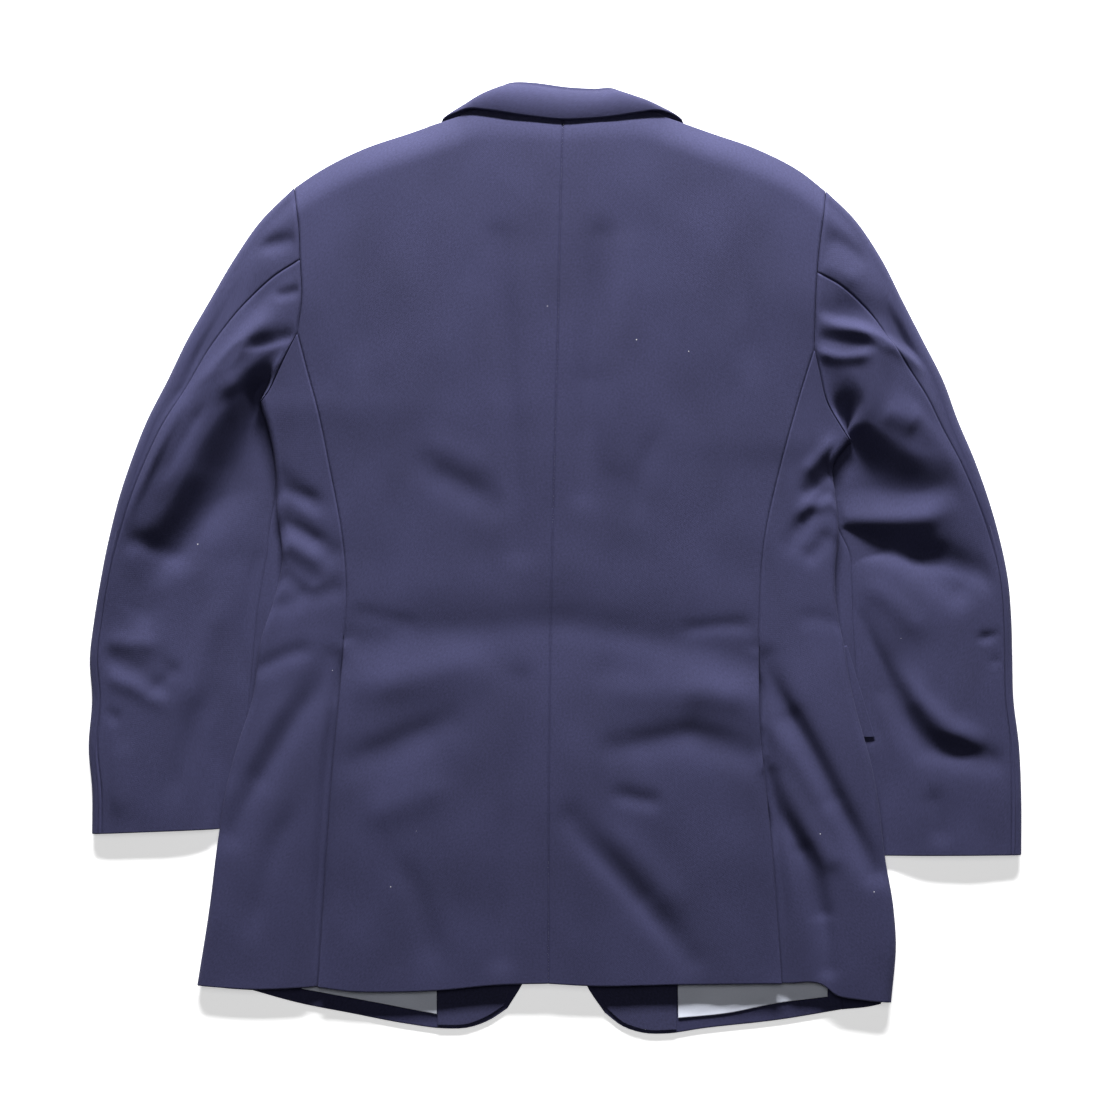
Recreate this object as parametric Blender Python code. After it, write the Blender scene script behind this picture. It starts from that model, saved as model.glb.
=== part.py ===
"""A navy two-vent blazer lying face down, back up, on a flat surface, with its sleeves beside the body.

Sizes in the tables are millimetres: +X is to the wearer's right, +Y is towards the collar, and +Z is up
from the surface. Each panel is a wall of cloth between its own seams. The body's upper layer and the
sleeves take their heights from the section tables, and the folds are soft troughs and ridges on them.
"""

from collections import namedtuple

import bmesh
import bpy
import numpy as np
from mathutils.bvhtree import BVHTree

MM = 0.001
CLOTH = 2.2  # suiting with the canvas and lining behind it
SLEEVE_CLOTH = 2.0
COLLAR_CLOTH = 2.0
LINING_CLOTH = 1.2
SEAM_HALF = 0.16  # half of the gap between two panels that are sewn together
ARMHOLE_GAP = 0.4  # the body's panels stop this far inside the armhole seam
SLEEVE_GAP = 0.8  # and the sleeve this far outside
LAYER_GAP = 0.35  # between cloths that lie on each other
FRONTS_GAP = 1.0  # between the two fronts where they cross

NAVY = (0.030, 0.031, 0.066)
LINING_BLUE = (0.125, 0.150, 0.235)
BUTTON_NAVY = (0.012, 0.013, 0.022)

# Seams and edges in plan, from the collar end to the hem.
CENTRE_BACK = [(7, 394.5), (7, 385), (6, 355), (4.5, 300), (2, 180), (-1, 70), (-3, -18), (-5, -141), (-6, -374)]
BACK_TOP_LEFT = [(7, 394.5), (-35, 397), (-60, 398), (-74, 395.8), (-84, 391), (-97, 386.8), (-129, 376),
                 (-170, 362), (-211, 341), (-230, 328)]
BACK_TOP_RIGHT = [(7, 394.5), (45, 397), (72, 398), (88, 394.5), (97, 390.5), (110, 386), (139, 376),
                  (179, 362), (219, 341), (239, 325)]
ARMHOLE_LEFT = [(-230, 328), (-225, 293), (-223.5, 261), (-222, 233), (-226, 198)]
ARMHOLE_RIGHT = [(239, 325), (236, 303), (231.5, 270), (229, 236), (227.5, 184)]
UNDERARM_LEFT = [(-226, 198), (-234, 183), (-242, 167), (-252, 147), (-260, 137)]
UNDERARM_RIGHT = [(227.5, 184), (232, 165), (239, 138), (250, 119), (260, 104)]
SIDE_BACK_LEFT = [(-226, 198), (-216, 159), (-211, 141), (-198, 79), (-187, 17), (-184, -22), (-186, -74),
                  (-190, -122), (-196, -185), (-202, -268), (-209, -377)]
SIDE_BACK_RIGHT = [(227.5, 184), (214, 140), (198, 81), (184, 15), (180, -51), (179.5, -110), (180, -144),
                   (186, -203), (192, -264), (200, -374)]
BODY_EDGE_LEFT = [(-260, 137), (-252, 112), (-246, 77), (-245, 40), (-240.5, 0), (-248, -36), (-259, -70),
                  (-267, -124), (-279, -161), (-289, -197), (-297, -245), (-304, -300), (-316, -376)]
BODY_EDGE_RIGHT = [(260, 104), (245, 82), (247, 60), (250, 23), (247, -13), (250, -54), (254, -72),
                   (260, -109), (266, -135), (279, -182), (285, -214), (291, -262), (299, -310),
                   (301, -335), (297, -391)]
SIDE_FRONT_LEFT = [(-226, 198), (-214, 141), (-203, 79), (-197, 17), (-199, -22), (-206, -74), (-218, -122),
                   (-230, -185), (-247, -268), (-268, -381)]
SIDE_FRONT_RIGHT = [(227.5, 184), (216, 140), (205, 81), (199, 15), (202, -51), (210, -110), (222, -165),
                    (232, -214), (243, -264), (254, -398)]
BACK_HEM_LEFT = [(-6, -374), (-47, -375), (-103, -380), (-150, -381.5), (-180, -381), (-209, -377)]
BACK_HEM_RIGHT = [(-6, -374), (29, -376), (106, -375), (200, -374)]
SIDE_HEM_LEFT = [(-209, -377), (-268, -379), (-316, -376)]
SIDE_HEM_RIGHT = [(200, -374), (236, -375), (248, -384), (268, -388), (297, -391)]
UNDER_HEM_LEFT = [(-268, -381), (-290, -379.5), (-316, -376)]
UNDER_HEM_RIGHT = [(254, -398), (278, -395.5), (297, -391)]

# Hidden fronts, from the neck to the hem: the roll line, then the edge that curves away below the buttons.
FRONT_EDGE_LEFT = [(-66, 384), (-52, 310), (-38, 230), (-16, 100), (8, -20), (16, -60), (14, -120),
                   (2, -220), (-14, -310), (-27, -372), (-42, -397)]
FRONT_EDGE_RIGHT = [(76, 384), (62, 310), (46, 230), (20, 100), (-8, -20), (-21, -60), (-19, -120),
                    (-4, -220), (14, -320), (28, -377), (44, -401)]
CUTAWAY = (-258, -330)  # the fronts cross above the first height, and lie flat below the second
FRONT_HEM_LEFT = [(-42, -397), (-57, -407), (-76, -414), (-97, -415), (-130, -411), (-180, -401.5),
                  (-228, -392), (-268, -381)]
FRONT_HEM_RIGHT = [(44, -401), (60, -413), (79, -419), (98, -419.5), (130, -415), (200, -407), (254, -398)]
FRONT_TOP_LEFT = [(-66, 384), (-82, 387), (-97, 386.4), (-129, 375.6), (-170, 361.6), (-211, 340.6), (-230, 328)]
FRONT_TOP_RIGHT = [(76, 384), (94, 387), (110, 385.6), (139, 375.6), (179, 361.6), (219, 340.6), (239, 325)]

# The body's upper layer, a row for each section across it: the height at each edge and along the middle.
BodySection = namedtuple("BodySection", "y left crown right")
BODY_SECTIONS = [
    BodySection(400, 17, 25, 17),
    BodySection(330, 20, 26, 20),
    BodySection(230, 23, 27, 23),
    BodySection(150, 18, 25, 19),
    BodySection(70, 14, 21, 14.5),
    BodySection(0, 13.8, 18, 14.2),
    BodySection(-60, 14.2, 16, 15.6),
    BodySection(-140, 14.8, 17.2, 17.2),
    BodySection(-240, 13.4, 15, 16.5),
    BodySection(-330, 11.6, 12, 13.5),
    BodySection(-400, 10.6, 10.7, 11.4),
]
CROWN_POWER = 2.4  # how late the crown falls towards the edges

# How high the upper layer ends at the shoulder and neck seams, and how far in it reaches its full height.
SEAM_HEIGHTS = [(-235, 7.4), (-170, 7.4), (-100, 9.5), (-60, 15), (7, 17), (62, 15), (108, 9.5), (180, 7.4), (245, 7.4)]
SHOULDER_ROLL = 30

# Folds of the body's upper layer: a soft ridge, or a trough below zero, along a line.
Fold = namedtuple("Fold", "x0 y0 x1 y1 width height")
BODY_FOLDS = [
    # waist, from side to side
    Fold(-180, -74, -95, -62, 15, -3.2),
    Fold(-95, -62, 10, -56, 15, -3.2),
    Fold(10, -56, 95, -72, 15, -3.8),
    Fold(95, -72, 178, -92, 14, -3.4),
    Fold(-170, -30, 165, -36, 20, 1.8),
    # hips and skirt
    Fold(-165, -110, -70, -104, 20, 1.6),
    Fold(62, -112, 170, -126, 18, 2.0),
    Fold(53, -165, 119, -154, 11, -2.2),
    Fold(119, -154, 178, -176, 11, -2.4),
    Fold(57, -207, 86, -213, 8, -1.2),
    Fold(-30, -106, -48, -350, 12, -1.4),
    Fold(15, -229, 75, -300, 13, -1.6),
    Fold(75, -300, 119, -352, 13, -1.4),
    Fold(-175, -178, -96, -144, 16, -1.6),
    # shoulder blades
    Fold(40, 281, 30, 158, 14, -1.6),
    Fold(30, 158, 26, 60, 14, -1.6),
    Fold(62, 270, 55, 90, 16, 1.2),
    Fold(-48, 281, -32, 10, 13, -1.2),
    Fold(-112, 82, -56, 50, 16, -1.6),
    # left side
    Fold(-242, 72, -211, 49, 8, -2.6),
    Fold(-234, 36, -197, 6, 9, -3.0),
    Fold(-238, 0, -214, -16, 8, -2.2),
    Fold(-238, -40, -194, -27, 8, -2.2),
    Fold(-196, -90, -258, -192, 15, -2.4),
    Fold(-258, -192, -284, -240, 14, -2.0),
    # right side
    Fold(186, -88, 207, -141, 10, -3.0),
    Fold(207, -141, 242, -212, 11, -5.2),
    Fold(242, -212, 280, -274, 11, -5.0),
    Fold(185, -178, 242, -264, 9, 1.8),
    Fold(190, -190, 217, -256, 9, -3.0),
    Fold(217, -256, 234, -312, 9, -3.4),
    Fold(234, -312, 240, -360, 8, -2.2),
    Fold(222, 60, 241, 82, 6, -3.0),
    Fold(238, 56, 209, 14, 7, -3.0),
]

# The side panels turn under at the body's edge. The back skirts lie over the vents' underlaps.
EDGE_TURN = 9  # how far in from the edge the turn starts
VENT_TOP_LEFT = -70
VENT_TOP_RIGHT = -78
SEAM_COLUMNS = [SEAM_HALF, 5, 10, 15]  # the side panel's first columns, measured from the seam above a vent
VENT_COLUMNS = [-36, -18, 0.6, 13]  # and beside a vent, where the first two are the underlap
UNDERLAP_DROP = CLOTH + 0.9  # how far the side panel sinks to pass under the back panel
FOLD_REACH = 12  # below the lowest place of the back panel this near
SLEEVE_LIFT = 5.3  # the body's edge lies this high where it rests on a sleeve
LIFT_SPREAD = 36  # width over which it comes down to the surface, past the sleeve's inner edge
LIFT_TOP_LEFT = (84, 30)  # it starts below the armhole and is full from the second height down
LIFT_TOP_RIGHT = (103, 82)
LIFT_END = (-275, -330)  # and comes down again past the cuff

# Sleeves, a row for each ring from the armhole to the cuff: the outer and inner ends in plan, and the upper
# face's height at the outer turn, a third and three fifths of the way in, and along the thin inner part.
Ring = namedtuple("Ring", "outer_x outer_y inner_x inner_y z_out z_third z_far z_in")
SLEEVE_LEFT = [
    Ring(-230, 328, -260, 137, 7.4, 22, 23, 15),
    Ring(-259, 299, -261.8, 137.6, 11, 27, 25, 11),
    Ring(-283, 264, -263.6, 136.6, 14, 31, 26, 8),
    Ring(-304, 228, -264.4, 134, 16, 33, 25, 6),
    Ring(-324, 193, -262, 123, 18, 33, 19, 5),
    Ring(-341, 158, -256, 104, 19, 33, 13, 4.8),
    Ring(-359, 123, -250, 76, 20, 31, 9.5, 4.7),
    Ring(-373, 88, -247.5, 50, 19, 27, 8.5, 4.7),
    Ring(-385, 52, -246, 24, 18, 21, 10, 4.7),
    Ring(-395, 12, -244.5, 0, 17, 14, 12, 4.7),
    Ring(-401, -18, -247, -20, 16, 14, 13, 4.7),
    Ring(-407, -53, -252, -53, 13, 14, 13, 4.7),
    Ring(-411, -88, -256, -88, 11, 13, 12.5, 4.7),
    Ring(-409, -124, -258, -122, 10, 12.5, 12, 4.7),
    Ring(-412, -165, -260, -162, 10, 12, 11, 4.7),
    Ring(-409, -204, -262, -200, 10, 11.5, 10.5, 4.7),
    Ring(-409, -242.5, -263, -237, 9.5, 10.5, 9.5, 4.7),
]
SLEEVE_RIGHT = [
    Ring(239, 325, 260, 104, 7.4, 22, 23, 15),
    Ring(265, 299, 261.8, 104.6, 11, 26, 26, 11),
    Ring(288, 264, 263.6, 103.6, 14, 29, 27, 8.5),
    Ring(306, 228, 264.4, 101, 16, 31, 27, 5),
    Ring(324, 193, 261.5, 91.5, 17, 31, 24, 4.7),
    Ring(342, 158, 252.5, 76, 18, 30, 18, 4.7),
    Ring(355, 123, 243.5, 60, 18, 27, 12, 4.7),
    Ring(370, 88, 240.5, 42, 17, 22, 10, 4.7),
    Ring(383, 52, 240, 22, 15, 17, 14, 4.7),
    Ring(393, 17, 239, 1, 13, 12, 11, 4.7),
    Ring(400, -18, 239, -20, 13, 14, 13, 4.7),
    Ring(403, -53, 242, -54, 12, 14, 13, 4.7),
    Ring(404, -88, 247, -90, 11, 13, 12, 4.7),
    Ring(405, -124, 252, -126, 11, 13, 11.5, 4.7),
    Ring(410, -165, 256, -166, 10, 12, 11, 4.7),
    Ring(412, -212, 265, -214, 10, 11.5, 10.5, 4.7),
    Ring(412, -261, 268, -262, 9.5, 10.5, 9.5, 4.7),
]
RING_PLACES = [0, 0.33, 0.6, 0.8, 1]
ARMHOLE_REACH = 4  # rings over which the sleeve leaves the armhole's curve
OUTER_TURN = 9
INNER_TURN = 5
# Where the elbow and inside seams cross the rings, as a share of each ring's upper face from the outer turn.
ELBOW_SEAM = [(0, 0.30), (3, 0.20), (6, 0.06), (9, 0.0), (16, 0.0)]
INSIDE_SEAM = [(0, 0.97), (6, 0.97), (9, 0.88), (13, 0.92), (16, 0.96)]
SLEEVE_FOLDS_LEFT = [
    Fold(-258, 202, -330, 154, 13, 2.4),
    Fold(-330, 154, -383, 44, 11, 2.6),
    Fold(-258, 150, -290, 79, 17, -5.0),
    Fold(-290, 79, -334, 8, 13, -4.0),
    Fold(-334, 8, -372, 16, 10, -2.4),
    Fold(-406, -84, -370, -98, 9, -3.4),
    Fold(-370, -98, -346, -116, 9, -2.4),
    Fold(-245, 279, -262, 276, 8, -1.6),
]
SLEEVE_FOLDS_RIGHT = [
    Fold(240, 202, 285, 198, 11, 2.2),
    Fold(285, 198, 370, 96, 14, 2.2),
    Fold(262, 118, 268, 66, 13, -6.0),
    Fold(268, 66, 338, 62, 10, -4.0),
    Fold(252, 35, 325, 34, 11, 3.4),
    Fold(252, 16, 340, 2, 10, -4.6),
    Fold(340, 2, 395, -20, 10, -4.0),
    Fold(268, -62, 325, -168, 10, -2.8),
    Fold(325, -168, 404, -181, 9, -3.0),
    Fold(318, -126, 370, -160, 10, 1.6),
]

# Collar, a row for each section from the left end under the front, round the neck, to the right end: the
# leaf's lower edge, the fold, and how far the cloth between them bows out.
CollarSection = namedtuple("CollarSection", "edge_x edge_y edge_z fold_x fold_y fold_z bow_x bow_y bow_z")
COLLAR_SECTIONS = [
    CollarSection(-90.6, 253.4, 0, -50, 277.3, 0, 0, 0, 0),
    CollarSection(-102, 320, 0, -55, 326, 0, 0, 0, 0),
    CollarSection(-105, 358, 0, -60, 368, 0, 0, 0, 0),
    CollarSection(-101, 385, 0, -61, 389.5, 0.4, -1, 1, 0),
    CollarSection(-98, 391, 4, -61, 399.5, 4.4, -2, 3, -1),
    CollarSection(-88, 394, 12, -58, 408, 9.5, -2, 3, 1),
    CollarSection(-76, 396, 19.5, -51, 415, 12.5, -1, 3, 4),
    CollarSection(-58, 393.5, 23.5, -39, 419, 14.5, 0, 3, 5),
    CollarSection(-30, 389, 24.8, -18, 418, 15.5, 0, 3, 5),
    CollarSection(7, 385, 25.2, 10, 414, 16, 0, 3, 5),
    CollarSection(44, 387, 24.8, 34, 413, 15.5, 0, 3, 5),
    CollarSection(70, 391, 23.5, 52, 414, 14.5, 0, 3, 5),
    CollarSection(89, 394.5, 19.5, 66, 408, 12.5, 1, 3, 4),
    CollarSection(101, 394, 12, 74, 401, 9.5, 2, 3, 1),
    CollarSection(111, 390.5, 4, 77, 396.5, 4.4, 2, 3, -1),
    CollarSection(114, 384.5, 0, 76, 389, 0.4, 1, 1, 0),
    CollarSection(115, 358, 0, 73, 368, 0, 0, 0, 0),
    CollarSection(112, 320, 0, 66, 326, 0, 0, 0, 0),
    CollarSection(100.4, 253.4, 0, 59, 277.3, 0, 0, 0, 0),
]
STAND_ENDS = (-54, 66)
STAND_BELOW_FOLD = 3.2  # how far inside the fold the stand's upper edge stays
STAND_RISE = 0.6

# Lapels lie folded under the fronts: the roll side, the outer edge with its belly, and the gorge at the top.
LAPEL_ROLL_LEFT = [(-50, 276.5), (-44, 225), (-23, 100), (-2, -18)]
LAPEL_EDGE_LEFT = [(-122, 234), (-103, 170), (-66, 90), (-30, 20), (-12, -16)]
LAPEL_ROLL_RIGHT = [(59, 276.5), (52, 225), (28, 100), (12, 12)]
LAPEL_EDGE_RIGHT = [(131, 234), (112, 170), (74, 90), (42, 36), (22, 14)]
COLLAR_COVER_LEFT = [(-100, 400), (-107, 362), (-108, 320)]  # and the collar's ends lie under them beside the neck
COLLAR_COVER_RIGHT = [(112, 400), (118, 362), (117, 320)]
LAPEL_FOOT = -26
COVER_MARGIN = 28  # the fronts stay raised this far past what they lie on
COVER_BORDER = 32  # and come down over this width

# Hip pocket flaps under the fronts: the pocket side, then the lower side, from the front end to the back end.
FLAP_LEFT = [[(-135, -92), (-200, -83), (-255, -78)], [(-146, -146), (-205, -140), (-261, -134)]]
FLAP_RIGHT = [[(120, -98), (190, -87), (256, -76)], [(133, -160), (200, -157), (278.5, -156)]]
FLAP_CLOTH = 1.2
FLAP_GAP = 1.0

Button = namedtuple("Button", "name x y")
BUTTONS = [Button("button_upper", -3, -72), Button("button_lower", -5, -158)]
BUTTON_PROFILE = [(0, 0.7), (6.6, 0.7), (7.4, 0), (9.2, 0), (10, 0.7), (10, 1.9), (9.2, 2.6), (0, 2.6)]
BUTTON_SIDES = 24

# Linings and facings that show between the back hem and the front hems: the upper side, then the lower side.
LINING_LEFT = [[(-104.5, -348), (-160, -349), (-224, -349)], [(-104.5, -402), (-159, -391.5), (-224, -379.5)]]
LINING_RIGHT = [[(108, -346), (170, -347), (241, -352)], [(109, -405.5), (153, -401), (195, -392.5), (241, -386.5)]]
FACING_LEFT = [[(-28, -348), (-70, -348), (-104, -348)], [(-46, -395), (-60, -404), (-78, -411), (-104, -412)]]
FACING_RIGHT = [[(23, -346), (60, -346), (107.5, -346)], [(47, -398), (60, -409), (80, -416), (107.5, -416)]]


def smooth(knots, values, at):
    """A smooth curve through values at rising knots, read at each number of at."""
    knots = np.asarray(knots, float)
    values = np.asarray(values, float)
    at = np.asarray(at, float)
    if len(knots) == 2:
        slopes = np.repeat((values[1:] - values[:1]) / (knots[1] - knots[0]), 2, axis=0)
    else:
        slopes = np.gradient(values, knots, axis=0)
    before = np.clip(np.searchsorted(knots, at, side="right") - 1, 0, len(knots) - 2)
    span = knots[before + 1] - knots[before]
    t = np.clip((at - knots[before]) / span, 0, 1)
    if values.ndim > 1:
        span = span[..., None]
        t = t[..., None]
    rise = t * t * (3 - 2 * t)
    start = values[before] * (1 - rise) + values[before + 1] * rise
    return start + span * (slopes[before] * t * (1 - t) ** 2 - slopes[before + 1] * t * t * (1 - t))


def line_length(points):
    return np.linalg.norm(np.diff(np.asarray(points, float), axis=0), axis=1).sum()


def along(points, shares):
    """Points of the smooth line through points, at shares of its length."""
    points = np.asarray(points, float)
    lengths = np.linalg.norm(np.diff(points, axis=0), axis=1)
    knots = np.concatenate([[0], np.cumsum(lengths)])
    return smooth(knots / knots[-1], points, shares)


def steps(count):
    return np.linspace(0, 1, count + 1)


def ease(amount):
    """From 0 to 1, level at both ends."""
    amount = np.clip(amount, 0, 1)
    return amount * amount * (3 - 2 * amount)


def patch(top, bottom, first, last, shares):
    """The grid between four sides. top and bottom run along the columns, first and last along the rows."""
    u = np.asarray(shares, float)[None, :, None]
    v = steps(len(first) - 1)[:, None, None]
    across = (1 - v) * top[None] + v * bottom[None]
    down = (1 - u) * first[:, None] + u * last[:, None]
    corners = (1 - v) * ((1 - u) * top[0] + u * top[-1]) + v * ((1 - u) * bottom[0] + u * bottom[-1])
    return across + down - corners


def inset(line, distance):
    """A line moved sideways, to the left of its own direction where distance is positive."""
    line = np.asarray(line, float)
    heading = np.gradient(line, axis=0)
    heading /= np.linalg.norm(heading, axis=1, keepdims=True)
    return line + distance * np.stack([-heading[:, 1], heading[:, 0]], axis=1)


def distance_to(points, x0, y0, x1, y1):
    """How far each plan point is from the straight line between two points."""
    start = np.array([x0, y0], float)
    run = np.array([x1, y1], float) - start
    share = np.clip(((points - start) @ run) / (run @ run), 0, 1)
    return np.linalg.norm(points - start - share[..., None] * run, axis=-1)


def fold_heights(points, folds):
    total = np.zeros(points.shape[:-1])
    for fold in folds:
        away = distance_to(points, fold.x0, fold.y0, fold.x1, fold.y1)
        total += fold.height * np.exp(-((away / fold.width) ** 2))
    return total


def with_height(points, heights):
    return np.concatenate([points, np.asarray(heights, float)[..., None]], axis=-1)


def x_at(line, y):
    """The x of a line that runs down the page, at each y."""
    line = np.asarray(line, float)[::-1]
    return smooth(line[:, 1], line[:, 0], np.clip(y, line[0, 1], line[-1, 1]))


LEFT_LIMIT = ARMHOLE_LEFT[:-1] + UNDERARM_LEFT[:-1] + BODY_EDGE_LEFT
RIGHT_LIMIT = ARMHOLE_RIGHT[:-1] + UNDERARM_RIGHT[:-1] + BODY_EDGE_RIGHT
TOP_LIMIT = BACK_TOP_LEFT[:0:-1] + BACK_TOP_RIGHT


def seam_height(x):
    """How high the back ends at the shoulder and neck seams."""
    seam_x, seam_z = zip(*SEAM_HEIGHTS)
    return smooth(seam_x, seam_z, np.clip(x, seam_x[0], seam_x[-1]))


def body_top(points):
    """The height of the body's upper layer at plan points."""
    x = points[..., 0]
    y = points[..., 1]
    sections = BODY_SECTIONS[::-1]
    levels = [section.y for section in sections]
    at = np.clip(y, levels[0], levels[-1])
    crown = smooth(levels, [section.crown for section in sections], at)
    left = smooth(levels, [section.left for section in sections], at)
    right = smooth(levels, [section.right for section in sections], at)
    place = 2 * (x - x_at(LEFT_LIMIT, y)) / (x_at(RIGHT_LIMIT, y) - x_at(LEFT_LIMIT, y)) - 1
    side = np.where(place < 0, left, right)
    height = crown - (crown - side) * np.minimum(np.abs(place), 1) ** CROWN_POWER
    height = height + fold_heights(points, BODY_FOLDS)
    top = np.asarray(TOP_LIMIT, float)
    edge_y = smooth(top[:, 0], top[:, 1], np.clip(x, top[0, 0], top[-1, 0]))
    seam = seam_height(x)
    rolled = np.clip((edge_y - y) / SHOULDER_ROLL, 0, 1)
    return seam + (height - seam) * (1 - (1 - rolled) ** 2)


def lowest_near(points):
    """The lowest place of the body's upper layer round each plan point."""
    shifts = ((0, 0), (FOLD_REACH, 0), (-FOLD_REACH, 0), (0, FOLD_REACH), (0, -FOLD_REACH))
    return np.min([body_top(points + np.array(shift, float)) for shift in shifts], axis=0)


def of_side(side, left, right):
    return left if side < 0 else right


def lift(points, side):
    """How high the body's under layer lies at plan points, where it rests on a sleeve near the body's edge."""
    rings = of_side(side, SLEEVE_LEFT, SLEEVE_RIGHT)
    inner = x_at([(ring.inner_x, ring.inner_y) for ring in rings], points[..., 1])
    past = (inner - points[..., 0]) * side
    high, low = of_side(side, LIFT_TOP_LEFT, LIFT_TOP_RIGHT)
    start = ease((high - points[..., 1]) / (high - low))
    end = ease((points[..., 1] - LIFT_END[1]) / (LIFT_END[0] - LIFT_END[1]))
    return SLEEVE_LIFT * start * end * (1 - ease((past - 3) / LIFT_SPREAD))


def over_flap(points, side):
    """1 where the body lies on its pocket flap, falling to 0 round it."""
    upper, lower = of_side(side, FLAP_LEFT, FLAP_RIGHT)
    upper_x, upper_y = np.asarray(sorted(upper), float).T
    lower_x, lower_y = np.asarray(sorted(lower), float).T
    x = points[..., 0]
    y = points[..., 1]
    above = y - smooth(upper_x, upper_y, np.clip(x, upper_x[0], upper_x[-1]))
    below = smooth(lower_x, lower_y, np.clip(x, lower_x[0], lower_x[-1])) - y
    down = np.clip((upper_y.mean() - y) / (upper_y.mean() - lower_y.mean()), 0, 1)
    left = upper_x[0] * (1 - down) + lower_x[0] * down - x
    right = x - upper_x[-1] * (1 - down) - lower_x[-1] * down
    outside = np.max([above, below, left, right], axis=0)
    return 1 - ease((outside - COVER_MARGIN) / COVER_BORDER)


def over_lapel(points, side):
    """1 where a front lies on its lapel or on the collar's end, falling to 0 round them."""
    cover = of_side(side, COLLAR_COVER_LEFT, COLLAR_COVER_RIGHT) + of_side(side, LAPEL_EDGE_LEFT, LAPEL_EDGE_RIGHT)
    outside = (points[..., 0] - x_at(cover, points[..., 1])) * side
    below = LAPEL_FOOT - points[..., 1]
    return 1 - ease((np.maximum(outside, below) - COVER_MARGIN) / COVER_BORDER)


def under_body(points, side):
    """The lowest face of the body's under layer: it lies on the surface, a sleeve or a pocket flap."""
    return lift(points, side) + (FLAP_CLOTH + FLAP_GAP) * over_flap(points, side)


def under_front(points, side):
    """The lowest face of a front, which lies on a lapel, a flap, the buttons, or the other front."""
    height = under_body(points, side)
    for covering in (side, -1):
        height = np.maximum(height, (COLLAR_CLOTH + LAYER_GAP) * over_lapel(points, covering))
    away = distance_to(points, *BUTTONS[0][1:], *BUTTONS[-1][1:])
    near = 1 - ease((away - BUTTON_PROFILE[4][0] - COVER_MARGIN) / COVER_BORDER)
    height = np.maximum(height, (BUTTON_PROFILE[-1][1] + LAYER_GAP) * near)
    if side > 0:
        past = x_at(FRONT_EDGE_LEFT, points[..., 1]) - points[..., 0]
        crossing = ease((past + 90) / 40) * ease((points[..., 1] - CUTAWAY[1]) / (CUTAWAY[0] - CUTAWAY[1]))
        height = height + (CLOTH + FRONTS_GAP) * crossing
    top = np.asarray(sorted(of_side(side, FRONT_TOP_LEFT, FRONT_TOP_RIGHT)), float)
    edge_y = smooth(top[:, 0], top[:, 1], np.clip(points[..., 0], top[0, 0], top[-1, 0]))
    rolled = np.clip((edge_y - points[..., 1]) / SHOULDER_ROLL, 0, 1)
    turned_up = seam_height(points[..., 0]) - 2 * CLOTH - LAYER_GAP
    return np.maximum(height, turned_up * (1 - rolled) ** 2)


def material(name, colour, roughness):
    made = bpy.data.materials.new(name)
    made.use_nodes = True
    shader = made.node_tree.nodes["Principled BSDF"]
    shader.inputs["Base Color"].default_value = (*colour, 1)
    shader.inputs["Roughness"].default_value = roughness
    shader.inputs["Metallic"].default_value = 0
    return made


def wall(name, outer, inner, finish):
    """One closed wall of cloth between its outer and its inner grid of points, in millimetres."""
    rows, columns = outer.shape[:2]
    mesh = bpy.data.meshes.new(name)
    body = bmesh.new()
    faces = []
    for grid in (outer, inner):
        faces.append([[body.verts.new(point * MM) for point in row] for row in grid])
    for i in range(rows - 1):
        for j in range(columns - 1):
            for grid in faces:
                body.faces.new((grid[i][j], grid[i][j + 1], grid[i + 1][j + 1], grid[i + 1][j]))
    front, back = faces
    rim = [(0, j) for j in range(columns)] + [(i, columns - 1) for i in range(1, rows)]
    rim += [(rows - 1, j) for j in range(columns - 2, -1, -1)] + [(i, 0) for i in range(rows - 2, 0, -1)]
    for (i, j), (k, m) in zip(rim, rim[1:] + rim[:1]):
        body.faces.new((front[i][j], front[k][m], back[k][m], back[i][j]))
    bmesh.ops.recalc_face_normals(body, faces=body.faces)
    body.to_mesh(mesh)
    body.free()
    mesh.materials.append(finish)
    mesh.shade_smooth()
    mesh.set_sharp_from_angle(angle=np.radians(50))
    made = bpy.data.objects.new(name, mesh)
    bpy.context.scene.collection.objects.link(made)
    return made


def flat_wall(name, points, top, thickness, finish):
    """A wall whose upper face has the given heights, with the same thickness straight down."""
    return wall(name, with_height(points, top), with_height(points, top - thickness), finish)


def turned(angles, reach, top, bottom, cloth):
    """A turned edge in section, for angles from above, 90, to below, -90.

    Gives how far in from the edge and how high the outer face lies, then the same for the inner face.
    """
    middle = ((top + bottom) / 2)[:, None]
    half = ((top - bottom) / 2)[:, None]
    sine = np.sin(np.radians(angles))
    cosine = np.cos(np.radians(angles))
    inner_reach = reach - (reach - cloth) * cosine
    return reach * (1 - cosine), middle + half * sine, inner_reach, middle + (half - cloth) * sine


def rows_between(first, last, top, bottom, shares):
    """Rows of points from one side to the other; the first and last rows bend with the top and bottom lines."""
    v = steps(len(first) - 1)[:, None, None]
    points = first[:, None] + (last - first)[:, None] * shares[..., None]
    within = np.clip(shares, 0, 1)
    for line, weight in ((top, (1 - v) ** 3), (bottom, v**3)):
        line = np.asarray(line, float)
        chord = line[0] + (line[-1] - line[0]) * within[..., None]
        points = points + weight * (along(line, within) - chord)
    return points


ARMHOLE_ROWS = 6
SIDE_ROWS = 22
BACK_COLUMNS = [0, 0.1, 0.21, 0.32, 0.43, 0.56, 0.7, 0.85, 1]
FRONT_COLUMNS = [0, 0.09, 0.18, 0.3, 0.45, 0.62, 0.81, 1]
CORNER_GAP = 1.6  # how far below the armhole the side panel's seams start
TURN_ANGLES = np.array([60, 30, 0, -30, -60])


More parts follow.
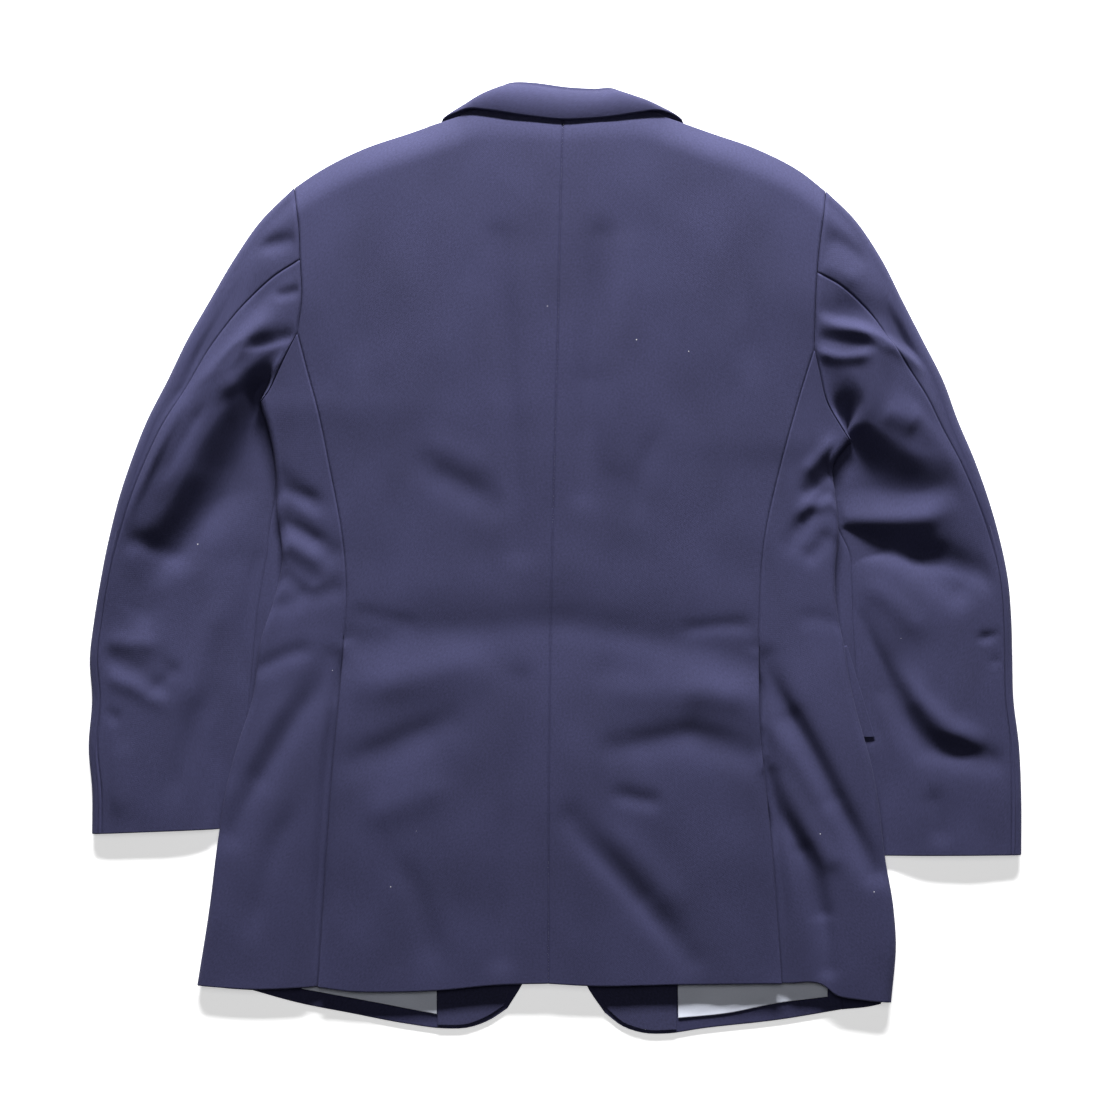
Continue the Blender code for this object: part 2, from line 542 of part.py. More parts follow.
def body_side(side, seam):
    """The side of a back or a front: the armhole, then the seam with the side panel."""
    armhole = along(of_side(side, ARMHOLE_LEFT, ARMHOLE_RIGHT), steps(ARMHOLE_ROWS))
    line = np.concatenate([armhole[:-1], along(seam, steps(SIDE_ROWS))])
    inside = np.where(np.arange(len(line)) < ARMHOLE_ROWS, ARMHOLE_GAP, SEAM_HALF)
    return inset(line, -side * inside[:, None])


def panel_between(top, bottom, first, last, shares):
    upper = along(top, shares)
    lower = along(bottom, shares)
    upper[0], upper[-1], lower[0], lower[-1] = first[0], last[0], first[-1], last[-1]
    return patch(upper, lower, first, last, shares)


def back_panel(name, side, finish):
    """Half of the back, from the centre seam to the armhole and the side seam or vent."""
    outer = body_side(side, of_side(side, SIDE_BACK_LEFT, SIDE_BACK_RIGHT))
    centre = along(CENTRE_BACK, steps(len(outer) - 1)) + np.array([side * SEAM_HALF, 0])
    top = of_side(side, BACK_TOP_LEFT, BACK_TOP_RIGHT)
    hem = of_side(side, BACK_HEM_LEFT, BACK_HEM_RIGHT)
    points = panel_between(top, hem, centre, outer, BACK_COLUMNS)
    flat_wall(name, points, body_top(points), CLOTH, finish)


def front_panel(name, side, finish):
    """A front on the surface, from the roll line and front edge to the armhole and the side seam."""
    outer = body_side(side, of_side(side, SIDE_FRONT_LEFT, SIDE_FRONT_RIGHT))
    edge = along(of_side(side, FRONT_EDGE_LEFT, FRONT_EDGE_RIGHT), steps(len(outer) - 1))
    top = of_side(side, FRONT_TOP_LEFT, FRONT_TOP_RIGHT)
    hem = of_side(side, FRONT_HEM_LEFT, FRONT_HEM_RIGHT)
    points = panel_between(top, hem, edge, outer, FRONT_COLUMNS)
    return flat_wall(name, points, under_front(points, side) + CLOTH, CLOTH, finish)


def side_panel(name, side, finish):
    """The piece between the back and the front: it turns under at the body's edge."""
    armhole = inset(along(of_side(side, UNDERARM_LEFT, UNDERARM_RIGHT), steps(8)), -side * ARMHOLE_GAP)
    seam = along(of_side(side, SIDE_BACK_LEFT, SIDE_BACK_RIGHT), steps(SIDE_ROWS))
    front = inset(along(of_side(side, SIDE_FRONT_LEFT, SIDE_FRONT_RIGHT), steps(SIDE_ROWS)), side * SEAM_HALF)
    edge = along(of_side(side, BODY_EDGE_LEFT, BODY_EDGE_RIGHT), steps(SIDE_ROWS))
    corner = seam[0] + CORNER_GAP * (seam[1] - seam[0]) / np.linalg.norm(seam[1] - seam[0])
    armhole[0], seam[0], front[0], edge[0] = corner, corner, corner + (side * SEAM_HALF, 0), armhole[-1]
    in_vent = seam[:, 1] < of_side(side, VENT_TOP_LEFT, VENT_TOP_RIGHT)
    sunk = in_vent | np.roll(in_vent, -1)
    sunk[-1] = True

    width = np.linalg.norm(edge - seam, axis=1)[:, None]
    near = np.where(in_vent[:, None], VENT_COLUMNS, SEAM_COLUMNS) / width
    start = 1 - EDGE_TURN / width
    level = near[:, -1:] + (start - near[:, -1:]) * steps(3)[1:]
    shares = np.concatenate([near, level], axis=1)
    upper = rows_between(seam, edge, armhole, of_side(side, SIDE_HEM_LEFT, SIDE_HEM_RIGHT), shares)
    top = body_top(upper)
    top[:, :3] = np.where(sunk[:, None], lowest_near(upper[:, :3]) - UNDERLAP_DROP, top[:, :3])

    under_width = np.linalg.norm(edge - front, axis=1)[:, None]
    under_start = 1 - EDGE_TURN / under_width
    under_shares = under_start * (1 - steps(2))
    under_hem = of_side(side, UNDER_HEM_LEFT, UNDER_HEM_RIGHT)
    under = rows_between(front, edge, armhole, under_hem, under_shares)
    bottom = under_body(under, side)

    reach, height, inner_reach, inner_height = turned(TURN_ANGLES, EDGE_TURN, top[:, -1], bottom[:, 0], CLOTH)
    hem = of_side(side, SIDE_HEM_LEFT, SIDE_HEM_RIGHT)
    turn = rows_between(seam, edge, armhole, hem, 1 - reach / width)
    inner_turn = rows_between(seam, edge, armhole, hem, 1 - inner_reach / width)
    outer = [with_height(upper, top), with_height(turn, height), with_height(under, bottom)]
    inner = [with_height(upper, top - CLOTH), with_height(inner_turn, inner_height), with_height(under, bottom + CLOTH)]
    return wall(name, np.concatenate(outer, axis=1), np.concatenate(inner, axis=1), finish)


SLEEVE_ROWS = 20
SEAM_SHARE = 0.0012  # half of a sleeve seam's gap as a share of a ring's upper face
TURN_SHARE = 0.2  # what a turned edge takes up on a ring's way round, where the upper face is 1


def sleeve_points(side, ways):
    """Outer and inner points of a sleeve, at each ring's ways round it.

    From 1 to 0 a way runs over the upper face to the outer turn, then round it, back under the sleeve to
    the inner turn, and round that to the upper face again.
    """
    rings = np.array(of_side(side, SLEEVE_LEFT, SLEEVE_RIGHT), float)
    stations = steps(SLEEVE_ROWS) * (len(rings) - 1)
    rings = smooth(np.arange(len(rings)), rings, stations)
    armhole = along(of_side(side, ARMHOLE_LEFT, ARMHOLE_RIGHT), steps(12))
    underarm = along(of_side(side, UNDERARM_LEFT, UNDERARM_RIGHT), steps(12))
    armhole = inset(np.concatenate([armhole, underarm[1:]]), side * SLEEVE_GAP)
    joined = (1 - ease(stations / ARMHOLE_REACH))[:, None]
    width = np.linalg.norm(rings[:, :2] - rings[:, 2:4], axis=1)[:, None]
    outer_share = OUTER_TURN / width
    inner_share = 1 - INNER_TURN / width

    def plan(shares):
        chord = rings[0, :2] + (rings[0, 2:4] - rings[0, :2]) * shares[..., None]
        straight = rings[:, None, :2] + (rings[:, None, 2:4] - rings[:, None, :2]) * shares[..., None]
        return straight + joined[..., None] * (along(armhole, shares) - chord)

    def top(places):
        places = np.clip(places, 0, 1)
        shares = outer_share + (inner_share - outer_share) * places
        heights = np.stack([rings[:, 4], rings[:, 5], rings[:, 6], rings[:, 7], rings[:, 7]], axis=1)
        level = np.stack([smooth(RING_PLACES, row, place) for row, place in zip(heights, places)])
        folds = of_side(side, SLEEVE_FOLDS_LEFT, SLEEVE_FOLDS_RIGHT)
        level = level + fold_heights(plan(shares), folds) * ease(places / 0.12) * ease((0.9 - places) / 0.15)
        level = np.maximum(level, rings[:, 7:8])
        return level * (1 - joined) + body_top(along(armhole, shares)) * joined

    outer = np.zeros((*ways.shape, 3))
    inner = np.zeros((*ways.shape, 3))
    edge_tops = (top(np.zeros((len(rings), 1)))[:, 0], top(np.ones((len(rings), 1)))[:, 0])
    for column, way in enumerate(ways.T):
        way = way[:, None]
        place = np.where(way >= 0, way, -TURN_SHARE - way)
        angle = np.where(place < 0, 90 + way * 180 / TURN_SHARE, 90)
        angle = np.where(place > 1, -90 + (place - 1) * 180 / TURN_SHARE, angle)
        at_inner = place > 1
        reach = np.where(at_inner, INNER_TURN, OUTER_TURN)
        turn_top = np.where(at_inner[:, 0], edge_tops[1], edge_tops[0])
        turns = [turned(a, r, t[None], np.zeros(1), SLEEVE_CLOTH) for a, r, t in zip(angle, reach, turn_top)]
        turns = np.array([[value[0, 0] if np.ndim(value) == 2 else value[0] for value in turn] for turn in turns])
        level_share = outer_share + (inner_share - outer_share) * np.clip(place, 0, 1)
        turning = (place < 0) | (place > 1)
        for grid, distance, height, above in (
            (outer, turns[:, 0:1], turns[:, 1], 0),
            (inner, turns[:, 2:3], turns[:, 3], SLEEVE_CLOTH),
        ):
            turn_share = np.where(at_inner, 1 - distance / width, distance / width)
            share = np.where(turning, turn_share, level_share)
            level_height = np.where(way >= 0, top(place) - above, above)[:, 0]
            grid[:, column, :2] = plan(share)[:, 0]
            grid[:, column, 2] = np.where(turning[:, 0], height, level_height)
    return outer, inner


def sleeve(side, finish):
    """A two-piece sleeve, flat on its lower face: the under sleeve is most of the face that shows."""
    stations = steps(SLEEVE_ROWS) * (len(SLEEVE_LEFT) - 1)
    elbow = smooth(*zip(*ELBOW_SEAM), stations)[:, None]
    inside = smooth(*zip(*INSIDE_SEAM), stations)[:, None]
    name = of_side(side, "sleeve_left", "sleeve_right")
    armhole = of_side(side, ARMHOLE_LEFT, ARMHOLE_RIGHT)
    underarm = of_side(side, UNDERARM_LEFT, UNDERARM_RIGHT)
    corner = line_length(armhole) / (line_length(armhole) + line_length(underarm))
    half_way = np.log((corner - elbow[0]) / (inside[0] - elbow[0])) / np.log(0.5)
    under = elbow + SEAM_SHARE + (inside - elbow - 2 * SEAM_SHARE) * steps(8) ** half_way
    wall(name + "_under", *sleeve_points(side, under), finish)

    lap = 1 + TURN_SHARE
    ends = [elbow - SEAM_SHARE, -0.25 * TURN_SHARE, -0.5 * TURN_SHARE, -0.75 * TURN_SHARE, -TURN_SHARE]
    ends += [-TURN_SHARE - share for share in steps(4)[1:]]
    ends += [-lap - share * TURN_SHARE for share in (0.25, 0.5, 0.75, 1)]
    ends += [inside + SEAM_SHARE]
    ways = np.concatenate([np.broadcast_to(end, elbow.shape) for end in ends], axis=1)
    ways = np.insert(ways, 1, (ways[:, 0] + ways[:, 1]) / 2, axis=1)
    wall(name + "_top", *sleeve_points(side, ways), finish)


def collar_fall(finish, rows=32, columns=5):
    """The collar's leaf: it lies on the back from the fold and wraps round the neck to both lapels."""
    table = np.array(COLLAR_SECTIONS, float)
    sections = smooth(np.arange(len(table)), table, steps(rows) * (len(table) - 1))[:, None]
    t = steps(columns)[None, :, None]
    outer = sections[..., :3] * (1 - t) + sections[..., 3:6] * t + sections[..., 6:] * 4 * t * (1 - t)
    normal = np.cross(np.gradient(outer, axis=0), np.gradient(outer, axis=1))
    normal /= np.linalg.norm(normal, axis=-1, keepdims=True)
    normal *= np.sign(normal[rows // 2, columns // 2, 2])
    outer[..., 2] = np.maximum(outer[..., 2], 0)
    wall("collar_fall", outer, outer - COLLAR_CLOTH * normal, finish)


def collar_stand(finish, rows=3, columns=14):
    """The inner band of the collar, from the neck seam up to the fold."""
    x = STAND_ENDS[0] + (STAND_ENDS[1] - STAND_ENDS[0]) * steps(columns)
    neck = np.concatenate([along(BACK_TOP_LEFT, BACK_COLUMNS)[:0:-1], along(BACK_TOP_RIGHT, BACK_COLUMNS)])
    neck_y = np.interp(x, neck[:, 0], neck[:, 1]) + 2 * SEAM_HALF
    neck_z = seam_height(x)
    folds = np.array(COLLAR_SECTIONS, float)[5:-5, 3:6]
    fold_y = smooth(folds[:, 0], folds[:, 1], x) - STAND_BELOW_FOLD
    fold_z = smooth(folds[:, 0], folds[:, 2], x)
    t = steps(rows)[:, None]
    y = neck_y * (1 - t) + fold_y * t
    z = neck_z * (1 - t) + fold_z * t + STAND_RISE * 4 * t * (1 - t)
    points = np.stack([np.broadcast_to(x, y.shape), y], axis=-1)
    flat_wall("collar_stand", points, z, COLLAR_CLOTH, finish)


def lapel(name, side, finish, rows=10, columns=3):
    first = along(of_side(side, LAPEL_ROLL_LEFT, LAPEL_ROLL_RIGHT), steps(rows))
    last = along(of_side(side, LAPEL_EDGE_LEFT, LAPEL_EDGE_RIGHT), steps(rows))
    shares = np.broadcast_to(steps(columns), (rows + 1, columns + 1))
    points = first[:, None] + (last - first)[:, None] * shares[..., None]
    flat_wall(name, points, np.full(points.shape[:-1], COLLAR_CLOTH), COLLAR_CLOTH, finish)


def face_of(panels, points, upwards, fallback):
    """The height of the panels' faces at plan points, found from below where upwards is 1, else from above."""
    heights = np.array(fallback, float)
    trees = []
    for panel in panels:
        body = bmesh.new()
        body.from_mesh(panel.data)
        trees.append(BVHTree.FromBMesh(body))
        body.free()
    for place in np.ndindex(heights.shape):
        start = (points[place][0] * MM, points[place][1] * MM, -upwards)
        hits = [tree.ray_cast(start, (0, 0, upwards))[0] for tree in trees]
        levels = [hit[2] / MM for hit in hits if hit is not None]
        if levels:
            heights[place] = upwards * min(upwards * level for level in levels)
    return heights


def pocket_flap(name, side, panels, finish, rows=4, columns=9):
    """A flap flat against the panels that lie on it."""
    upper, lower = (along(line, steps(columns)) for line in of_side(side, FLAP_LEFT, FLAP_RIGHT))
    points = upper[None] + (lower - upper)[None] * steps(rows)[:, None, None]
    top = face_of(panels, points, 1, under_body(points, side)) - FLAP_GAP + LAYER_GAP / 2
    flat_wall(name, points, top, FLAP_CLOTH, finish)


def inner_patch(name, sides, panel, fallback, finish, rows=4, columns=8):
    """A lining or facing on the inner face of a front."""
    upper, lower = (along(line, steps(columns)) for line in sides)
    points = upper[None] + (lower - upper)[None] * steps(rows)[:, None, None]
    base = face_of([panel], points, -1, fallback(points))
    flat_wall(name, points, base + LAYER_GAP + LINING_CLOTH, LINING_CLOTH, finish)


def button(made_from, finish):
    profile = bmesh.new()
    ring = [profile.verts.new((radius * MM, 0, height * MM)) for radius, height in BUTTON_PROFILE]
    edges = [profile.edges.new(pair) for pair in zip(ring, ring[1:])]
    bmesh.ops.spin(
        profile, geom=ring + edges, cent=(0, 0, 0), axis=(0, 0, 1), angle=2 * np.pi, steps=BUTTON_SIDES
    )
    bmesh.ops.remove_doubles(profile, verts=profile.verts, dist=1e-6)
    bmesh.ops.recalc_face_normals(profile, faces=profile.faces)
    mesh = bpy.data.meshes.new(made_from.name)
    profile.to_mesh(mesh)
    profile.free()
    mesh.materials.append(finish)
    made = bpy.data.objects.new(made_from.name, mesh)
    made.location = (made_from.x * MM, made_from.y * MM, 0)
    bpy.context.scene.collection.objects.link(made)


def build():
    for thing in list(bpy.data.objects):
        bpy.data.objects.remove(thing, do_unlink=True)
    navy = material("navy_suiting", NAVY, 0.85)
    satin = material("blue_satin_lining", LINING_BLUE, 0.45)
    horn = material("dark_horn", BUTTON_NAVY, 0.35)
    for side in (-1, 1):
        word = of_side(side, "left", "right")
        back_panel("back_" + word, side, navy)
        under = side_panel("side_" + word, side, navy)
        front = front_panel("front_" + word, side, navy)
        lapel("lapel_" + word, side, navy)
        sleeve(side, navy)
        pocket_flap("pocket_flap_" + word, side, [front, under], navy)
        for part, sides, finish in (
            ("lining_", of_side(side, LINING_LEFT, LINING_RIGHT), satin),
            ("facing_", of_side(side, FACING_LEFT, FACING_RIGHT), navy),
        ):
            inner_patch(part + word, sides, front, lambda points: under_front(points, side) + CLOTH, finish)
    collar_fall(navy)
    collar_stand(navy)
    for made_from in BUTTONS:
        button(made_from, horn)


build()
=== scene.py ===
# A navy two-vent blazer lying face down on a pale floor, its back up, seen from straight above.
# Sizes in the tables are millimetres, as a cutter would write them; meshes are in metres.
from collections import namedtuple

import bpy
import numpy as np
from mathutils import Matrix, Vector


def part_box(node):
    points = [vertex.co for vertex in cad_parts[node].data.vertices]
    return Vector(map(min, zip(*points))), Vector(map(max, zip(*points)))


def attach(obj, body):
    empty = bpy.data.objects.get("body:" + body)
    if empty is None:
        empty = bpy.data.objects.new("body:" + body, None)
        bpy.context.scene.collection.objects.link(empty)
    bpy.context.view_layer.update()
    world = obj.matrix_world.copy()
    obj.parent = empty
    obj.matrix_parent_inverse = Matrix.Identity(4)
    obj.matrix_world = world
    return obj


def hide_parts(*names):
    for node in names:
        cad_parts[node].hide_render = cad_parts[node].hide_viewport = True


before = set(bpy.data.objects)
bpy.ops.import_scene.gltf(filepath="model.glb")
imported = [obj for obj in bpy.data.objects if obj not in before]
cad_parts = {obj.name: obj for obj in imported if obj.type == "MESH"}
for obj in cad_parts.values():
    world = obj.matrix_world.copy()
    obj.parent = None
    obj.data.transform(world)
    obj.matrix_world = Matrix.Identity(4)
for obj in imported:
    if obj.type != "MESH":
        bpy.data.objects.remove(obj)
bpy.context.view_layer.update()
mm = 0.001
print("frame loaded:", len(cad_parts), "nodes")

cloth = {
    "thick": 1.9,           # suiting with its canvas and lining
    "sleeveThick": 1.7,
    "collarThick": 1.8,
    "standThick": 1.7,
    "flapThick": 1.1,
    "facingThick": 1.2,
    "liningThick": 0.9,
    "liningLoose": 0.55,    # how high the lining's ripples stand
    "step": 3.3,            # spacing of the mesh on what shows
    "hiddenStep": 6.5,      # and on what lies underneath
    "seamGap": 0.003,       # half of the gap at a seam
    "armholeGap": 0.25,     # and at an armhole
    "seamDip": 1.0,         # how far the cloth dips into a seam
    "seamReach": 0.95,      # over this width
    "pucker": 0.10,         # small ripples beside the seams
    "puckerReach": 5.0,
}
leastWall = 0.25
words = {-1: "left", 1: "right"}
edgeSpots = [0, 0.25, 0.6, 1.05, 1.7, 2.7]    # extra mesh lines, measured from each edge

# Plan of the blazer, from the collar to the hem
centreBack = [(7, 394.5), (7, 385), (6, 355), (4.5, 300), (2, 180), (-1, 70), (-3, -18), (-5, -141), (-6, -374)]
backTop = {
    -1: [(7, 394.5), (-35, 397), (-60, 398), (-74, 395.8), (-84, 391), (-97, 386.8), (-129, 376),
         (-170, 362), (-211, 341), (-230, 328)],
    1: [(7, 394.5), (45, 397), (72, 398), (88, 394.5), (97, 390.5), (110, 386), (139, 376),
        (179, 362), (219, 341), (239, 325)],
}
armhole = {
    -1: [(-230, 328), (-225, 293), (-223.5, 261), (-222, 233), (-226, 198)],
    1: [(239, 325), (236, 303), (231.5, 270), (229, 236), (227.5, 184)],
}
underarm = {
    -1: [(-226, 198), (-234, 183), (-242, 167), (-252, 147), (-260, 137)],
    1: [(227.5, 184), (232, 165), (239, 138), (250, 119), (260, 104)],
}
sideBack = {
    -1: [(-226, 198), (-216, 159), (-211, 141), (-198, 79), (-187, 17), (-184, -22), (-186, -74),
         (-190, -122), (-196, -185), (-202, -268), (-209, -377)],
    1: [(227.5, 184), (214, 140), (198, 81), (184, 15), (180, -51), (179.5, -110), (180, -144),
        (186, -203), (192, -264), (200, -374)],
}
bodyEdge = {
    -1: [(-260, 137), (-252, 112), (-246, 77), (-245, 40), (-240.5, 0), (-248, -36), (-259, -70),
         (-267, -124), (-279, -161), (-289, -197), (-297, -245), (-304, -300), (-316, -376)],
    1: [(260, 104), (245, 82), (247, 60), (250, 23), (247, -13), (250, -54), (254, -72),
        (260, -109), (266, -135), (279, -182), (285, -214), (291, -262), (299, -310),
        (301, -335), (297, -391)],
}
sideFront = {
    -1: [(-226, 198), (-214, 141), (-203, 79), (-197, 17), (-199, -22), (-206, -74), (-218, -122),
         (-230, -185), (-247, -268), (-268, -381)],
    1: [(227.5, 184), (216, 140), (205, 81), (199, 15), (202, -51), (210, -110), (222, -165),
        (232, -214), (243, -264), (254, -398)],
}
backHem = {
    -1: [(-6, -374), (-47, -375), (-103, -380), (-150, -381.5), (-180, -381), (-209, -377)],
    1: [(-6, -374), (29, -376), (106, -375), (200, -374)],
}
sideHem = {
    -1: [(-209, -377), (-268, -379), (-316, -376)],
    1: [(200, -374), (236, -375), (248, -384), (268, -388), (297, -391)],
}
underHem = {
    -1: [(-268, -381), (-290, -379.5), (-316, -376)],
    1: [(254, -398), (278, -395.5), (297, -391)],
}
frontEdge = {
    -1: [(-66, 384), (-52, 310), (-38, 230), (-16, 100), (8, -20), (16, -60), (14, -120),
         (2, -220), (-14, -310), (-27, -372), (-42, -397)],
    1: [(76, 384), (62, 310), (46, 230), (20, 100), (-8, -20), (-21, -60), (-19, -120),
        (-4, -220), (14, -320), (28, -377), (44, -401)],
}
frontHem = {
    -1: [(-42, -397), (-57, -407), (-76, -414), (-97, -415), (-130, -411), (-180, -401.5),
         (-228, -392), (-268, -381)],
    1: [(44, -401), (60, -413), (79, -419), (98, -419.5), (130, -415), (200, -407), (254, -398)],
}
frontTop = {
    -1: [(-66, 384), (-82, 387), (-97, 386.4), (-129, 375.6), (-170, 361.6), (-211, 340.6), (-230, 328)],
    1: [(76, 384), (94, 387), (110, 385.6), (139, 375.6), (179, 361.6), (219, 340.6), (239, 325)],
}
bodyLimit = {side: armhole[side][:-1] + underarm[side][:-1] + bodyEdge[side] for side in (-1, 1)}
topLimit = backTop[-1][:0:-1] + backTop[1]
ventTop = {-1: -70, 1: -78}
cutaway = (-258, -330)

# The body's upper layer: a row for each section across it.
Section = namedtuple("Section", "y left crown right")
bodySections = [
    Section(400, 17, 25, 17),
    Section(330, 20, 28.5, 20),
    Section(230, 23, 27.5, 23),
    Section(150, 17.5, 25.5, 18),
    Section(70, 13.5, 22.5, 14),
    Section(0, 13, 19.5, 14),
    Section(-60, 13.2, 17, 15),
    Section(-140, 14, 18.5, 17),
    Section(-240, 12.8, 16.5, 16.2),
    Section(-330, 11.2, 12.4, 13.5),
    Section(-400, 10.4, 10.6, 11.4),
]
crownPower = 2.4
seamHeights = [
    (-235, 7.4), (-170, 7.4), (-100, 9.5), (-60, 15), (7, 17), (62, 15), (108, 9.5), (180, 7.4), (245, 7.4),
]
shoulderRoll = 30

# Broad folds, as straight soft ridges (troughs below zero).
Fold = namedtuple("Fold", "x0 y0 x1 y1 wide high")
bodyFolds = [
    Fold(-180, -74, -95, -62, 15, -1.3), Fold(-95, -62, 10, -56, 15, -1.1), Fold(10, -56, 95, -72, 15, -1.5),
    Fold(95, -72, 178, -92, 16, -1.8), Fold(-170, -30, 165, -36, 20, 0.6), Fold(-165, -110, -70, -104, 20, 1.6),
    Fold(62, -112, 170, -126, 18, 2.0), Fold(53, -165, 119, -154, 13, -1.7), Fold(119, -154, 178, -176, 13, -1.8),
    Fold(57, -207, 86, -213, 8, -1.2), Fold(-30, -106, -48, -350, 12, -1.4), Fold(15, -229, 75, -300, 13, -1.6),
    Fold(75, -300, 119, -352, 13, -1.4), Fold(-175, -178, -96, -144, 16, -1.6), Fold(40, 281, 30, 158, 14, -1.6),
    Fold(30, 158, 26, 60, 14, -1.6), Fold(62, 270, 55, 90, 16, 1.2), Fold(-48, 281, -32, 10, 13, -1.2),
    Fold(-112, 82, -56, 50, 16, -1.6), Fold(-242, 72, -211, 49, 9, -1.6), Fold(-234, 36, -197, 6, 10, -1.8),
    Fold(-238, 0, -214, -16, 9, -1.4), Fold(-238, -40, -194, -27, 9, -1.4), Fold(-196, -90, -258, -192, 15, -2.4),
    Fold(-258, -192, -284, -240, 14, -2.0), Fold(186, -88, 207, -141, 11, -2.4),
    Fold(207, -141, 242, -212, 12, -3.6),
    Fold(242, -212, 280, -274, 12, -3.4), Fold(185, -178, 242, -264, 9, 1.8), Fold(190, -190, 217, -256, 9, -3.0),
    Fold(217, -256, 234, -312, 9, -3.4), Fold(234, -312, 240, -360, 8, -2.2), Fold(222, 60, 241, 82, 7, -2.2),
    Fold(238, 56, 209, 14, 9, -1.2),
]

# Finer creases on top of them. lean makes one flank steeper: above 0 the one on the left of the way it runs.
creaseEnd = 0.3    # share of its length over which a crease dies away
Crease = namedtuple("Crease", "high wide lean path")
bodyCreases = [
    # shoulder blades
    Crease(-1.6, 11, 0.3, [(40, 290), (35, 220), (30, 158), (26, 50)]),
    Crease(1.2, 12, 0.0, [(60, 285), (50, 160), (44, 60)]),
    Crease(-1.2, 11, 0.2, [(-48, 290), (-41, 150), (-31, -10)]),
    Crease(-1.0, 13, 0.2, [(-116, 82), (-84, 66), (-50, 48)]),
    Crease(1.0, 14, 0.0, [(-122, 106), (-84, 90), (-46, 74)]),
    Crease(-1.0, 10, 0.0, [(98, 124), (78, 84), (68, 20)]),
    Crease(-1.2, 12, 0.0, [(150, 300), (168, 220), (176, 140)]),
    Crease(-1.0, 12, 0.0, [(-150, 300), (-166, 220), (-172, 140)]),
    # waist
    Crease(0.6, 20, 0.0, [(-180, -30), (-90, -18), (0, -12), (90, -16), (176, -34)]),
    Crease(-0.8, 8, 0.2, [(-190, -44), (-156, -50), (-110, -60)]),
    Crease(1.6, 15, 0.0, [(-186, -112), (-140, -108), (-88, -92), (-36, -88)]),
    Crease(-1.4, 7, 0.0, [(184, -58), (146, -58), (100, -64)]),
    Crease(1.8, 13, 0.0, [(100, -112), (140, -117), (178, -122)]),
    Crease(-1.0, 14, 0.0, [(24, -96), (66, -104), (100, -108)]),
    # skirt
    Crease(-1.8, 18, 0.4, [(40, -176), (84, -162), (119, -157), (152, -162), (184, -176)]),
    Crease(-0.8, 8, 0.0, [(52, -204), (72, -211), (92, -213)]),
    Crease(-1.6, 13, 0.3, [(-24, -100), (-36, -240), (-50, -382)]),
    Crease(-2.2, 12, -0.3, [(8, -224), (44, -266), (76, -301), (124, -360)]),
    Crease(1.6, 14, 0.0, [(34, -222), (76, -270), (124, -324)]),
    Crease(-1.6, 18, 0.4, [(-190, -182), (-140, -164), (-84, -138)]),
    Crease(1.4, 15, 0.0, [(-180, -230), (-130, -214), (-84, -190)]),
    Crease(-1.4, 12, 0.0, [(-152, -246), (-120, -300), (-104, -378)]),
    Crease(1.0, 14, 0.0, [(20, -130), (26, -240), (34, -370)]),
    # beside the vents
    Crease(-4.2, 8, -0.4, [(-190, -80), (-195, -122), (-201, -185), (-207, -268), (-213, -385)]),
    Crease(1.2, 6, 0.0, [(-180, -84), (-184, -122), (-190, -185), (-196, -268), (-203, -385)]),
    Crease(-3.4, 8, 0.4, [(186, -88), (187, -144), (193, -203), (199, -264), (206, -385)]),
    # left side
    Crease(-1.6, 8, 0.2, [(-252, 66), (-226, 56), (-202, 50)]),
    Crease(-1.9, 8, 0.2, [(-252, 36), (-224, 24), (-197, 8)]),
    Crease(1.2, 8, 0.0, [(-246, 20), (-222, 8), (-200, -6)]),
    Crease(-1.9, 8, 0.2, [(-248, -4), (-232, -20), (-210, -34)]),
    Crease(-2.8, 13, 0.3, [(-192, -92), (-222, -128), (-252, -176), (-290, -240)]),
    Crease(-1.8, 8, 0.0, [(-270, -104), (-240, -86), (-206, -76)]),
    Crease(2.2, 11, 0.0, [(-214, -96), (-246, -140), (-276, -196), (-300, -250)]),
    Crease(-1.8, 10, 0.0, [(-222, -200), (-252, -270), (-270, -350)]),
    # right side
    Crease(-3.6, 10, -0.4, [(266, 98), (250, 82), (238, 68), (218, 52)]),
    Crease(2.4, 6, 0.0, [(250, 112), (234, 92), (214, 70)]),
    Crease(-1.4, 8, -0.2, [(243, 62), (228, 42), (219, 34), (205, 10)]),
    Crease(2.4, 6, 0.0, [(252, 58), (236, 48), (222, 46), (212, 30)]),
    Crease(-1.8, 8, 0.0, [(244, 30), (232, 10), (214, -4)]),
    Crease(-4.8, 11, 0.35, [
        (172, -68), (182, -92), (198, -122), (214, -148),
        (230, -176), (246, -208), (262, -240), (290, -290),
    ]),
    Crease(3.4, 10, 0.0, [(188, -128), (212, -170), (240, -218), (268, -268)]),
    Crease(-3.4, 9, 0.4, [(182, -176), (198, -222), (214, -248), (229, -272), (236, -310), (240, -370)]),
    Crease(-0.8, 8, 0.0, [(256, -60), (234, -52), (206, -54)]),
]

